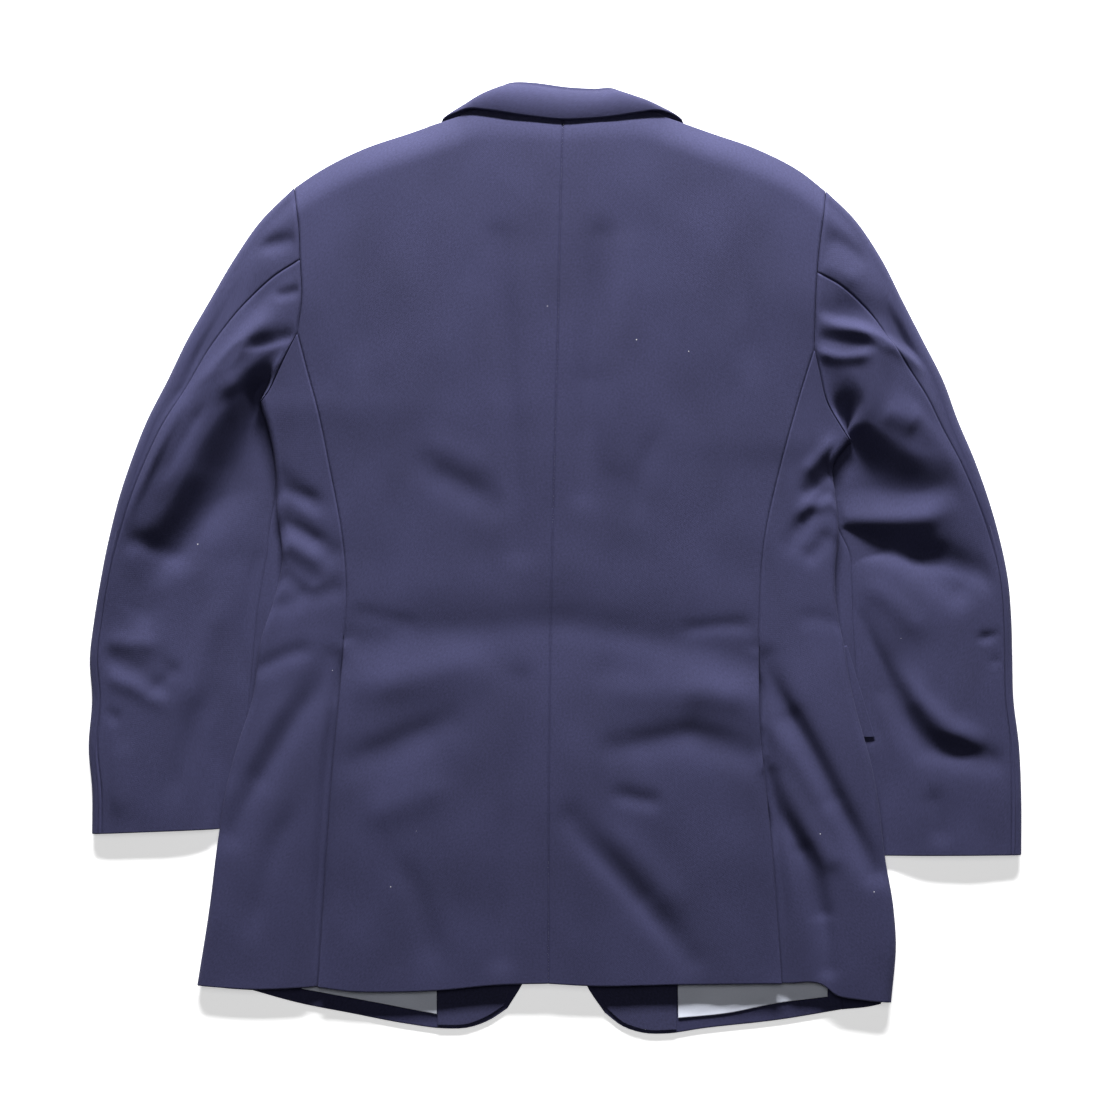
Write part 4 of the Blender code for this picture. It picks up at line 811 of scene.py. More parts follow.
def makeWeaveGroup():
    # plain weave: warp and weft ribs that take turns on top, with slubs and a slow unevenness of dye
    group, given, out = newGroup(
        "plainWeave", "ShaderNodeTree",
        (("Vector", "Vector", None), ("Pitch", "Float", 0.0007), ("Slub", "Float", 0.5), ("Seed", "Float", 0.0)),
        (("Height", "Float"), ("Shade", "Float"), ("Patch", "Float")),
    )
    place = nodeAt(group, "ShaderNodeSeparateXYZ", -980, 200, {0: given["Vector"]}).outputs
    ribs = []
    for axis, y in (("X", 240), ("Y", 60)):
        turns = mathNode(group, "DIVIDE", -780, y, place[axis], given["Pitch"])
        ribs.append(mathNode(group, "SINE", -460, y, mathNode(group, "MULTIPLY", -620, y, turns, np.pi)))
    sign = mathNode(group, "SIGN", -140, 220, mathNode(group, "MULTIPLY", -300, 160, *ribs))
    warp, weft = [mathNode(group, "ABSOLUTE", -140, 80 - 120 * k, rib) for k, rib in enumerate(ribs)]
    over = mathNode(group, "MULTIPLY", 180, 120, sign, mathNode(group, "SUBTRACT", 20, 60, warp, weft))
    yarn = mathNode(group, "MULTIPLY", 340, -20, mathNode(group, "ADD", 180, -20, warp, weft), 0.4)
    height = mathNode(group, "ADD", 500, 60, mathNode(group, "MULTIPLY", 340, 120, over, 0.35), yarn)
    noises = [
        nodeAt(
            group, "ShaderNodeTexNoise", -460, y, noise_dimensions="4D",
            inputs={"Vector": given["Vector"], "W": given["Seed"], "Scale": scale, "Detail": detail},
        ).outputs[0]
        for y, scale, detail in ((-300, 520.0, 3.0), (-520, 14.0, 2.0))
    ]
    slub = mathNode(group, "SUBTRACT", -240, -300, noises[0], 0.5)
    shade = mathNode(group, "ADD", 120, -300, mathNode(group, "MULTIPLY", -80, -300, slub, given["Slub"]), 0.5)
    for value, label in ((height, "Height"), (shade, "Shade"), (noises[1], "Patch")):
        group.links.new(value, out[label])
    return group


def makeLintGroup():
    # a few pale fibres and specks, far apart
    group, given, out = newGroup(
        "paleLint", "ShaderNodeTree",
        (("Vector", "Vector", None), ("Spacing", "Float", 30.0), ("Size", "Float", 0.02)), (("Mask", "Float"),),
    )
    scattered = {"Vector": given["Vector"], "Scale": given["Spacing"]}
    cells = nodeAt(group, "ShaderNodeTexVoronoi", -560, 0, scattered).outputs
    spot = mathNode(group, "LESS_THAN", -300, 60, cells["Distance"], given["Size"])
    red = nodeAt(group, "ShaderNodeSeparateColor", -300, -120, {0: cells["Color"]}).outputs[0]
    some = mathNode(group, "GREATER_THAN", -80, -120, red, 0.72)
    group.links.new(mathNode(group, "MULTIPLY", 140, 0, spot, some), out["Mask"])
    return group


weaveGroup = makeWeaveGroup()
lintGroup = makeLintGroup()
lintLook = {"spacing": 42.0, "colour": (0.55, 0.55, 0.58)}


def clothFinish(name, look):
    made, tree, shader = newFinish(name, {
        "Roughness": look["roughness"], "Specular IOR Level": look["specular"], "Sheen Weight": look["sheen"],
        "Sheen Roughness": 0.45, "Sheen Tint": (*look["sheenTint"], 1),
    })
    place = nodeAt(tree, "ShaderNodeTexCoord", -1300, 0).outputs
    weave = nodeAt(tree, "ShaderNodeGroup", -1000, 100, node_tree=weaveGroup)
    for label, value in (("Pitch", look["pitch"]), ("Slub", look["slub"]), ("Seed", look["seed"])):
        weave.inputs[label].default_value = value
    tree.links.new(place["UV"], weave.inputs["Vector"])
    threads = nodeAt(
        tree, "ShaderNodeMix", -700, 260, data_type="RGBA",
        inputs={0: weave.outputs["Shade"], 6: (*look["dark"], 1), 7: (*look["light"], 1)},
    )
    patches = nodeAt(tree, "ShaderNodeMapRange", -700, 20, {
        "Value": weave.outputs["Patch"], "From Min": 0.3, "From Max": 0.7, "To Min": 0.8, "To Max": 1.2,
    })
    dyed = nodeAt(
        tree, "ShaderNodeMix", -480, 260, data_type="RGBA", blend_type="MULTIPLY",
        inputs={0: look["patchy"], 6: threads.outputs[2], 7: patches.outputs[0]},
    )
    colour = dyed.outputs[2]
    if look["lint"]:
        lint = nodeAt(tree, "ShaderNodeGroup", -700, 520, node_tree=lintGroup)
        lint.inputs["Spacing"].default_value = lintLook["spacing"]
        lint.inputs["Size"].default_value = look["lint"]
        tree.links.new(place["Object"], lint.inputs["Vector"])
        dusted = nodeAt(
            tree, "ShaderNodeMix", -260, 320, data_type="RGBA",
            inputs={0: lint.outputs["Mask"], 6: colour, 7: (*lintLook["colour"], 1)},
        )
        colour = dusted.outputs[2]
    tree.links.new(colour, shader.inputs["Base Color"])
    bump = nodeAt(tree, "ShaderNodeBump", -260, -260, {
        "Strength": look["bump"], "Distance": 0.0004, "Height": weave.outputs["Height"],
    })
    tree.links.new(bump.outputs[0], shader.inputs["Normal"])
    return made


navyLook = {
    "pitch": 0.00085, "slub": 1.4, "seed": 1.0, "patchy": 0.5, "lint": 0.020, "bump": 0.35,
    "dark": (0.0200, 0.0203, 0.0500), "light": (0.0380, 0.0385, 0.0930),
    "roughness": 0.85, "specular": 0.18, "sheen": 0.05, "sheenTint": (0.5, 0.5, 0.9),
}
# painted light: the lining's colours are set far lighter than its own blue-grey satin, to make up for the shade the
# back's hem casts over it
liningLookPaintedLight = {
    "pitch": 0.00035, "slub": 0.5, "seed": 7.0, "patchy": 0.35, "lint": 0, "bump": 0.10,
    "dark": (0.600, 0.640, 0.760), "light": (0.760, 0.790, 0.900),
    "roughness": 0.42, "specular": 0.45, "sheen": 0.05, "sheenTint": (0.8, 0.85, 1.0),
}
navySuiting = clothFinish("navySuiting", navyLook)
navyFacing = clothFinish("navyFacing", {**navyLook, "seed": 4.0, "lint": 0, "dark": (0.018, 0.0185, 0.040)})
blueLining = clothFinish("blueLining", liningLookPaintedLight)
print("finishes made")


# The body
edgeTurn = {"reach": 9, "angles": [78, 62, 46, 30, 15, 0, -15, -30, -46, -62, -78]}
vent = {
    "spots": [-34, -22, -10, -3, -0.4, 0.1, 0.5, 1.1, 2, 3.4, 5.5, 8, 11, 15],    # the first five are the underlap
    "closedSpots": [0.25, 0.5, 0.8, 1.2, 1.8, 2.6, 3.8, 5, 7, 9, 11, 13, 15],     # and above the vent
    "open": 6,          # over this length it opens
    "air": 1.7,         # between its two layers
    "rise": 16,
    "sinkOver": 34,
    "curl": 1.2,        # beside it the back stands a little proud
    "curlReach": 9,
}


def bodySideLine(side, seam, step):
    # the armhole, then the seam with the side panel, and how far down each point is
    upper = alongLine(armhole[side], spotShares(lineLength(armhole[side]), step, True, False))
    lower = alongLine(seam, spotShares(lineLength(seam), step, False, True))
    line = np.concatenate([upper[:-1], lower])
    onArmhole = np.arange(len(line)) < len(upper) - 1
    line = movedSideways(line, -side * np.where(onArmhole, cloth["armholeGap"], cloth["seamGap"]))
    down = runningLengths(line)
    return line, down / down[-1]


def makeBack(side):
    word = words[side]
    thick = cloth["thick"]
    outer, v = bodySideLine(side, sideBack[side], cloth["step"])
    centre = alongLine(centreBack, v) + np.array([side * cloth["seamGap"], 0])
    shares = rowShares(np.linalg.norm(outer - centre, axis=1), cloth["step"])
    points = rowsBetween(centre, outer, backTop[side], backHem[side], shares, v)
    atCentre, atSide, atTop, atHem = edgeDistances(points)
    inVent = ease((ventTop[side] - points[..., 1][:, -1:]) / vent["open"])
    seam = np.maximum(seamDrop(atCentre), seamDrop(atSide) * (1 - inVent))
    free = roundDrop(atHem, thick) + roundDrop(atSide, thick) * inVent
    free = np.maximum(free, roundDrop(atTop, thick))
    curl = vent["curl"] * inVent * np.exp(-((atSide / vent["curlReach"]) ** 2))
    top = bodyTop(points) - seam - free + curl
    top = top + pucker(atCentre, atTop, 13.0) * 0.6 + pucker(atSide, atTop, 9.0) * (1 - inVent)
    bottom = bodyTop(points) - thick + free * 0.9 - seam * 0.2 + curl
    bottom = np.minimum(bottom, top - leastWall)
    piece = clothShell("backPanel_" + word, withHeight(points, top), withHeight(points, bottom), navySuiting)
    layCloth(piece, "back_" + word)


def makeFront(side):
    word = words[side]
    outer, v = bodySideLine(side, sideFront[side], cloth["hiddenStep"])
    edge = alongLine(frontEdge[side], v)
    shares = rowShares(np.linalg.norm(outer - edge, axis=1), cloth["hiddenStep"])
    points = rowsBetween(edge, outer, frontTop[side], frontHem[side], shares, v)
    atEdge, atSide, _, atHem = edgeDistances(points)
    free = np.max([roundDrop(atEdge, cloth["thick"]), roundDrop(atHem, cloth["thick"])], axis=0)
    base = underFront(points, side)
    top = base + layers["cadCloth"] - free - seamDrop(atSide) * 0.5
    bottom = np.minimum(base + free * 0.9, top - leastWall)
    piece = clothShell("frontPanel_" + word, withHeight(points, top), withHeight(points, bottom), navySuiting)
    layCloth(piece, "front_" + word)


def turnedEdge(top, bottom, thick):
    # the fold at the body's edge: distance and height of its outer face, then of its inner face
    middle = ((top + bottom) / 2)[:, None]
    half = ((top - bottom) / 2)[:, None]
    sine = np.sin(np.radians(edgeTurn["angles"]))
    cosine = np.cos(np.radians(edgeTurn["angles"]))
    reach = edgeTurn["reach"]
    outerFace = (reach * (1 - cosine), middle + half * sine)
    innerFace = (reach - (reach - thick) * cosine, middle + (half - thick) * sine)
    return outerFace + innerFace


def makeSide(side):
    word = words[side]
    thick = cloth["thick"]
    v = spotShares(lineLength(sideBack[side]), cloth["step"])
    seam = alongLine(sideBack[side], v)
    arm = movedSideways(alongLine(underarm[side], np.linspace(0, 1, 40)), np.full(40, -side * cloth["armholeGap"]))
    front = movedSideways(alongLine(sideFront[side], v), np.full(len(v), side * cloth["seamGap"]))
    edge = alongLine(bodyEdge[side], v)
    corner = seam[0] + 1.2 * (seam[10] - seam[0]) / np.linalg.norm(seam[10] - seam[0])
    arm[0], seam[0], front[0], edge[0] = corner, corner, corner + (side * 0.1, 0), arm[-1]
    inVent = seam[:, 1:2] < ventTop[side]
    width = np.linalg.norm(edge - seam, axis=1)[:, None]
    near = np.where(inVent, vent["spots"], [cloth["seamGap"]] + vent["closedSpots"])
    near = np.minimum(near, 0.45 * width * np.linspace(0.05, 1, near.shape[1]))
    start = np.maximum(1 - edgeTurn["reach"] / width, 0.5)
    count = int(round((width.max() - vent["spots"][-1] - edgeTurn["reach"]) / cloth["step"]))
    level = near[:, -1:] / width + (start - near[:, -1:] / width) * (np.arange(1, count + 1) / count)
    shares = np.concatenate([near / width, level], axis=1)
    upper = rowsBetween(seam, edge, arm, sideHem[side], shares, v)
    distance = shares * width
    height = bodyTop(upper)
    along = runningLengths(seam)[:, None]
    rise = ease((distance + 3) / vent["rise"])
    sunk = lowestNear(upper) * (1 - rise) + height * rise - (thick + vent["air"]) * (1 - rise)
    seamed = height - seamDrop(distance) + pucker(distance, along, 9.0)
    # below a vent's top the visible part sinks slowly
    into = ease((ventTop[side] - seam[:, 1:2]) / vent["sinkOver"])
    sunk = np.where(distance < 0, sunk, sunk * into + seamed * (1 - into))
    top = np.where(inVent, sunk, seamed) - seamDrop(along) * 0.8 - roundDrop(along[-1:] - along, thick)

    underWidth = np.linalg.norm(edge - front, axis=1)[:, None]
    underShares = np.maximum(1 - edgeTurn["reach"] / underWidth, 0.4) * (1 - np.linspace(0, 1, 14))
    under = rowsBetween(front, edge, arm, underHem[side], underShares, v)
    bottom = underBody(under, side)
    turn = turnedEdge(top[:, -1], bottom[:, 0], thick)
    turnPlan, innerPlan = [
        rowsBetween(seam, edge, arm, sideHem[side], 1 - np.minimum(away / width, 0.5), v) for away in turn[::2]
    ]
    outer = [withHeight(upper, top), withHeight(turnPlan, turn[1]), withHeight(under, bottom)]
    inner = [withHeight(upper, top - thick), withHeight(innerPlan, turn[3]), withHeight(under, bottom + thick)]
    outer, inner = [np.concatenate(parts, axis=1) for parts in (outer, inner)]
    piece = clothShell("sidePanel_" + word, outer, inner, navySuiting)
    layCloth(piece, "side_" + word)


# Sleeves
def sleevePoints(side, stations, ways):
    # ways: 0 to 1 over the upper face, past 1 round the inner turn, below 0 round the outer turn
    rings = smoothCurve(np.arange(len(sleeveRings[side])), np.array(sleeveRings[side], float), stations)
    seam = np.concatenate([
        alongLine(armhole[side], np.linspace(0, 1, 13)), alongLine(underarm[side], np.linspace(0, 1, 13))[1:],
    ])
    seam = movedSideways(seam, np.full(len(seam), side * cloth["armholeGap"]))
    joined = (1 - ease(stations / sleeve["armholeReach"]))[:, None]
    width = np.linalg.norm(rings[:, :2] - rings[:, 2:4], axis=1)[:, None]
    outerShare = sleeve["outerTurn"] / width
    innerShare = 1 - sleeve["innerTurn"] / width
    turnShare = sleeve["turnShare"]
    thick = cloth["sleeveThick"]

    def plan(shares):
        chord = rings[0, :2] + (rings[0, 2:4] - rings[0, :2]) * shares[..., None]
        straight = rings[:, None, :2] + (rings[:, None, 2:4] - rings[:, None, :2]) * shares[..., None]
        return straight + joined[..., None] * (alongLine(seam, shares) - chord)

    def top(places):
        places = np.clip(places, 0, 1)
        shares = outerShare + (innerShare - outerShare) * places
        heights = rings[:, [4, 5, 6, 7, 7]]
        level = np.stack([smoothCurve(sleeve["places"], row, place) for row, place in zip(heights, places)])
        spots = plan(shares)
        down = np.linalg.norm(spots - plan(shares)[:1], axis=2)
        underShare = ease((shares - sleeve["underFrom"]) / sleeve["underOver"])
        reach = sleeve["capReach"] - (sleeve["capReach"] - sleeve["underReach"]) * underShare
        atSeam = 1 - ease(down / reach)
        level = level * (1 - atSeam) + bodyTop(alongLine(seam, shares)) * atSeam
        folds = foldHeights(spots, sleeveFolds[side]) + creaseHeights(spots, sleeveCreases[side])
        folds = folds + undulation(spots, sleeve["undulation"])
        foldEnd = sleeve["foldEnd"]
        level = level + folds * ease(places / foldEnd) * ease((0.97 - places) / foldEnd) * ease((down + 1) / 9)
        lowest = np.minimum(rings[:, 7:8], sleeve["flat"] + 0.5 * down) * (1 - atSeam) + level * atSeam
        level = lowest + (level - lowest) * (1 - hollowShare(spots, side))
        level = np.maximum(level, lowest)
        # under the body's edge it stays flat
        outside = (spots[..., 0] - xAt(bodyEdge[side], spots[..., 1])) * side
        above = ease((spots[..., 1] - bodyEdge[side][0][1] + 6) / 8)
        free = np.maximum(ease((outside - 1.5) / sleeve["tuckReach"]), above)
        level = np.minimum(level, np.maximum(lowest, sleeve["flat"] + sleeve["tuckRise"] * free))
        return level - seamDrop(down / 1.5) * 2 + pucker(down, shares * width, 8.0) * 1.3

    outer = np.zeros((*ways.shape, 3))
    inner = np.zeros((*ways.shape, 3))
    place = np.where(ways >= 0, ways, -turnShare - ways)
    angle = np.where(place < 0, 90 + ways * 180 / turnShare, 90.0)
    angle = np.where(place > 1, -90 + (place - 1) * 180 / turnShare, angle)
    atInner = place > 1
    turning = (place < 0) | (place > 1)
    edgeTops = np.where(atInner, top(np.ones((len(rings), 1))), top(np.zeros((len(rings), 1))))
    reach = np.where(atInner, sleeve["innerTurn"], sleeve["outerTurn"])
    half = edgeTops / 2
    sine = np.sin(np.radians(angle))
    cosine = np.cos(np.radians(angle))
    levelShare = outerShare + (innerShare - outerShare) * np.clip(place, 0, 1)
    levelTop = top(place)
    for grid, distance, height, above in (
        (outer, reach * (1 - cosine), half + half * sine, 0.0),
        (inner, reach - (reach - thick) * cosine, half + (half - thick) * sine, thick),
    ):
        turnShares = np.where(atInner, 1 - distance / width, distance / width)
        grid[..., :2] = plan(np.where(turning, turnShares, levelShare))
        grid[..., 2] = np.where(turning, height, np.where(ways >= 0, levelTop - above, above))
    return outer, inner


def roundCuff(outer, inner):
    # the folded edge at the cuff: its two faces meet over the last millimetre
    down = np.linalg.norm(np.diff(outer, axis=0), axis=2)
    fromEnd = np.zeros(outer.shape[:2])
    fromEnd[:-1] = np.cumsum(down[::-1], axis=0)[::-1]
    share = (roundDrop(fromEnd, cloth["sleeveThick"]) / cloth["sleeveThick"])[..., None]
    return outer + (inner - outer) * share, inner + (outer - inner) * share


def laySleeve(part, side, stations, ways):
    outer, inner = sleevePoints(side, stations, ways)
    atElbow, atInside, _, _ = edgeDistances(outer)
    for grid in (outer, inner):
        grid[..., 2] -= seamDrop(atElbow) * 0.9 + seamDrop(atInside) * 0.5
    piece = clothShell("sleeve%s_%s" % (part.title(), words[side]), *roundCuff(outer, inner), navySuiting)
    layCloth(piece, "sleeve_%s_%s" % (words[side], part))


def makeSleeve(side):
    length = sleeve["length"]
    stations = spotShares(length, length / sleeve["rows"]) * (len(sleeveRings[side]) - 1)
    elbow, inside = [smoothCurve(*zip(*sleeve[key]), stations)[:, None] for key in ("elbowSeam", "insideSeam")]
    gap = sleeve["seamGap"]
    across = spotShares(sleeve["underWidth"], cloth["step"])
    under = elbow + gap + (inside - elbow - 2 * gap) * across
    laySleeve("under", side, stations, under)

    # the top sleeve runs from the elbow seam round the outer turn, under the whole and up round the inner turn
    turnShare = sleeve["turnShare"]
    ends = [elbow - gap - share for share in (0, 0.0017, 0.004, 0.007, 0.011, 0.018)]
    nearSeam = ends[-1]
    ends += [nearSeam + (-0.06 * turnShare - nearSeam) * t for t in np.linspace(0, 1, 14)[1:]]
    ends += [np.full_like(elbow, -turnShare * t) for t in np.linspace(0.06, 1, 13)[1:]]
    ends += [np.full_like(elbow, -turnShare - t) for t in np.linspace(0, 1, 34)[1:]]
    ends += [np.full_like(elbow, -(1 + turnShare) - turnShare * t) for t in np.linspace(0, 1, 10)[1:]]
    ends += [1 + (inside + gap - 1) * t for t in (0.25, 0.5, 0.75, 0.88, 0.94, 0.97, 1.0)]
    laySleeve("top", side, stations, np.concatenate(ends, axis=1))


for side in (-1, 1):
    makeFront(side)
    makeSide(side)
    makeBack(side)
    print("body", words[side], "laid")
    makeSleeve(side)
    print("sleeve", words[side], "laid")


# Collar, lapels, flaps and what shows inside
def outwardNormals(grid):
    normal = np.cross(np.gradient(grid, axis=0), np.gradient(grid, axis=1))
    return normal / np.maximum(np.linalg.norm(normal, axis=-1, keepdims=True), 1e-9)


collar = {"rows": 190, "columns": 13, "wave": 0.45, "roll": 2.6, "rollAngles": (12, 28, 46, 66, 88)}


def makeCollar():
    table = np.array(collarRows, float)
    rows, columns = collar["rows"], collar["columns"]
    spots = np.concatenate([[0, 0.0015, 0.004], np.linspace(0.008, 0.992, rows - 6), [0.996, 0.9985, 1]])
    sections = smoothCurve(np.arange(len(table)), table, spots * (len(table) - 1))[:, None]
    t = np.concatenate([[0, 0.02, 0.045, 0.08, 0.13], np.linspace(0.2, 1, columns - 5)])[None, :, None]
    outer = sections[..., :3] * (1 - t) + sections[..., 3:6] * t + sections[..., 6:] * 4 * t * (1 - t)
    wave = collar["wave"] * np.sin(outer[..., 0] / 9.5 + 0.7 * np.sin(outer[..., 0] / 23))
    wave = wave * ease(sections[..., 2] / 15) * (1 - t[..., 0]) ** 0.5
    outer[..., 2] = np.maximum(outer[..., 2], 0) + wave * 0.5
    # the fold rolls over and down behind the leaf
    outward = outer[:, -1, :2] - outer[:, -3, :2]
    outward /= np.linalg.norm(outward, axis=1, keepdims=True)
    rolled = []
    radius = collar["roll"] * ease(sections[:, 0, 5] / 7)
    for bend in np.radians(collar["rollAngles"]):
        point = outer[:, -1].copy()
        point[:, :2] += outward * (radius * 0.75 * np.sin(bend))[:, None]
        point[:, 2] -= radius * (1 - np.cos(bend))
        rolled.append(point[:, None])
    outer = np.concatenate([outer] + rolled, axis=1)
    normal = outwardNormals(outer)
    normal *= np.sign(normal[rows // 2, columns // 2, 2])
    flat = ease((3 - sections[:, :, 5]) / 3)[..., None]
    normal = normal * (1 - flat) + np.array([0, 0, 1.0]) * flat
    normal /= np.linalg.norm(normal, axis=-1, keepdims=True)
    thick = cloth["collarThick"]
    inner = outer - thick * normal
    inner[..., 2] -= np.minimum(inner[..., 2], 0)
    outer[..., 2] = np.maximum(outer[..., 2], inner[..., 2] + 0.6 * thick * (inner[..., 2] <= 0.001))
    atEdge, _, atFirst, atLast = edgeDistances(outer)
    share = 0.98 * np.max([roundDrop(away, thick) for away in (atEdge, atFirst, atLast)], axis=0)[..., None] / thick
    outer, inner = outer + (inner - outer) * share, inner + (outer - inner) * share
    piece = clothShell("collarLeaf", outer, inner, navySuiting)
    layCloth(piece, "collar_fall")


def makeStand():
    x = np.linspace(-53, 65, 60)
    top = np.asarray(topLimit, float)
    folds = np.array(collarRows, float)[5:-5, 3:6]
    neckY = np.interp(x, top[:, 0], top[:, 1]) + 0.2
    foldY = smoothCurve(folds[:, 0], folds[:, 1], x) - 4.4
    foldZ = smoothCurve(folds[:, 0], folds[:, 2], x) - 0.3
    t = np.linspace(0, 1, 9)[:, None]
    y = neckY * (1 - t) + foldY * t
    z = seamHeight(x) * (1 - t) + foldZ * t + 0.5 * 4 * t * (1 - t)
    outer = np.stack([np.broadcast_to(x, y.shape), y, z], axis=-1)
    piece = clothShell("collarStand", outer, outer - np.array([0, 0, cloth["standThick"]]), navySuiting)
    layCloth(piece, "collar_stand")


def flatPiece(name, first, last, height, thick, finish, step=4.0):
    # a flat piece with round edges between two lines, its lower face at height(points)
    u = spotShares(lineLength(first), step)
    a = alongLine(first, u)
    b = alongLine(last, u)
    shares = rowShares(np.linalg.norm(b - a, axis=1), step)
    points = a[:, None] + (b - a)[:, None] * shares[..., None]
    free = roundDrop(np.min(edgeDistances(points), axis=0), thick)
    base = height(points)
    return clothShell(name, withHeight(points, base + thick - free), withHeight(points, base + free), finish)


def makeLapel(side):
    def onFloor(points):
        return np.full(points.shape[:-1], 0.05)

    name = "lapel_" + words[side]
    piece = flatPiece(name + "Leaf", lapelRoll[side], lapelEdge[side], onFloor, cloth["collarThick"], navySuiting)
    layCloth(piece, name)


def makeFlap(side):
    word = words[side]
    low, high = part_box("pocket_flap_" + word)

    def height(points):
        under = underBody(points, side) - layers["flap"] - layers["flapGap"] + 0.2
        return np.clip(under, low[2] / mm, high[2] / mm - 1.0)

    piece = flatPiece("flap_" + word, *pocketFlap[side], height, cloth["flapThick"], navySuiting)
    layCloth(piece, "pocket_flap_" + word)


def onFront(points, side):
    return underFront(points, side) + layers["cadCloth"] + layers["inside"]


def makeInside(side):
    word = words[side]

    def satin(points):
        # the lining is loose: it ripples across, and is folded under along its hem
        x = points[..., 0]
        y = points[..., 1]
        ripple = 0.5 * (1 + np.sin(x / 4.6 + 1.3 * np.sin(x / 13) + 0.05 * y))
        return onFront(points, side) + 0.1 + cloth["liningLoose"] * ripple * ease((y - yAt(lining[side][1], x)) / 9)

    piece = flatPiece("lining_" + word + "Satin", *lining[side], satin, cloth["liningThick"], blueLining, 2.0)
    layCloth(piece, "lining_" + word)
    piece = flatPiece(
        "facing_" + word + "Cloth", *facing[side], lambda points: onFront(points, side),
        cloth["facingThick"], navyFacing, 3.0,
    )
    layCloth(piece, "facing_" + word)


makeCollar()
makeStand()
for side in (-1, 1):
    makeLapel(side)
    makeFlap(side)
    makeInside(side)
print("collar, lapels, flaps and linings laid")


# Buttons
def hornFinish():
    made, tree, shader = newFinish("darkHorn", {"Roughness": 0.32})
    place = nodeAt(tree, "ShaderNodeTexCoord", -900, 0).outputs["Object"]
    stretch = nodeAt(tree, "ShaderNodeMapping", -720, 0, {"Vector": place, "Scale": (1.0, 3.2, 1.0)}).outputs[0]
    streaks = nodeAt(
        tree, "ShaderNodeTexNoise", -520, 0, {"Vector": stretch, "Scale": 160.0, "Detail": 4.0},
    ).outputs[0]
    ramp = nodeAt(tree, "ShaderNodeValToRGB", -300, 0, {0: streaks})
    for stop, at, colour in zip(
        ramp.color_ramp.elements, (0.35, 0.75), ((0.008, 0.009, 0.016, 1), (0.030, 0.032, 0.050, 1)),
    ):
        stop.position = at
        stop.color = colour
    tree.links.new(ramp.outputs[0], shader.inputs["Base Color"])
    bump = nodeAt(tree, "ShaderNodeBump", -200, -260, {"Strength": 0.08, "Distance": 0.0002, "Height": streaks})
    tree.links.new(bump.outputs[0], shader.inputs["Normal"])
    return made


def threadFinish():
    made, tree, shader = newFinish("navyThread", {"Roughness": 0.6})
    place = nodeAt(tree, "ShaderNodeTexCoord", -700, 0).outputs["Object"]
    twist = nodeAt(tree, "ShaderNodeTexNoise", -500, 0, {"Vector": place, "Scale": 2200.0}).outputs[0]
    ramp = nodeAt(tree, "ShaderNodeValToRGB", -300, 0, {0: twist})
    ramp.color_ramp.elements[0].color = (0.012, 0.012, 0.030, 1)
    ramp.color_ramp.elements[1].color = (0.050, 0.052, 0.105, 1)
    tree.links.new(ramp.outputs[0], shader.inputs["Base Color"])
    return made


darkHorn = hornFinish()
navyThread = threadFinish()


def circle(place, radius, z, sides):
    angles = np.linspace(0, 2 * np.pi, sides, endpoint=False)
    return [((place[0] + radius * np.cos(a)) * mm, (place[1] + radius * np.sin(a)) * mm, z * mm) for a in angles]


def makeButton(name, place):
    radius = button["radius"]
    rim = radius - button["rim"]
    top = button["thick"]
    sides = button["sides"]
    # from the middle of the face that lies down, round the rim, to the middle of the back
    profile = [
        (rim - 1.2, button["dish"]), (rim - 0.4, button["dish"] * 0.6), (rim, 0.12),
        (rim + 0.5, 0.0), (radius - 0.5, 0.05), (radius - 0.15, 0.35), (radius, 0.9), (radius, 1.5),
        (radius - 0.3, 2.1), (radius - 1.1, 2.5), (radius - 2.4, top),
    ]
    points = [(place[0] * mm, place[1] * mm, button["dish"] * mm)]
    for away, z in profile:
        points += circle(place, away, z, sides)
    points.append((place[0] * mm, place[1] * mm, top * mm))
    after = [(k + 1) % sides for k in range(sides)]
    faces = [[0, 1 + after[k], 1 + k] for k in range(sides)]
    for base in range(1, 1 + (len(profile) - 1) * sides, sides):
        faces += [[base + k, base + after[k], base + sides + after[k], base + sides + k] for k in range(sides)]
    base = 1 + (len(profile) - 1) * sides
    faces += [[len(points) - 1, base + k, base + after[k]] for k in range(sides)]
    mesh = bpy.data.meshes.new(name + "Disc")
    mesh.from_pydata(points, [], faces)
    mesh.materials.append(darkHorn)
    disc = addObject(name + "Disc", mesh)

    apart = button["holeFrom"]
    holes = [(place[0] + sx * apart, place[1] + sy * apart) for sx in (-1, 1) for sy in (-1, 1)]
    sides = button["holeSides"]
    cutPoints = []
    cutFaces = []
    for hole in holes:
        start = len(cutPoints)
        for z in (-1.0, 4.0):
            cutPoints += circle(hole, button["holeRadius"], z, sides)
        cutFaces += [list(range(start + sides - 1, start - 1, -1)), list(range(start + sides, start + 2 * sides))]
        for k in range(sides):
            after = start + (k + 1) % sides
            cutFaces.append([start + k, after, after + sides, start + sides + k])
    cutter = bpy.data.meshes.new("holeCutter")
    cutter.from_pydata(cutPoints, [], cutFaces)
    cutterPiece = addObject("holeCutter", cutter)
    cut = disc.modifiers.new("holes", "BOOLEAN")
    cut.operation = "DIFFERENCE"
    cut.solver = "EXACT"
    cut.object = cutterPiece
    done = bpy.data.meshes.new_from_object(disc.evaluated_get(bpy.context.evaluated_depsgraph_get()))
    disc.modifiers.clear()
    disc.data = done
    bpy.data.objects.remove(cutterPiece)
    done.shade_smooth()
    done.set_sharp_from_angle(angle=np.radians(35))
    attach(disc, "root")
    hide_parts(name)
    return holes


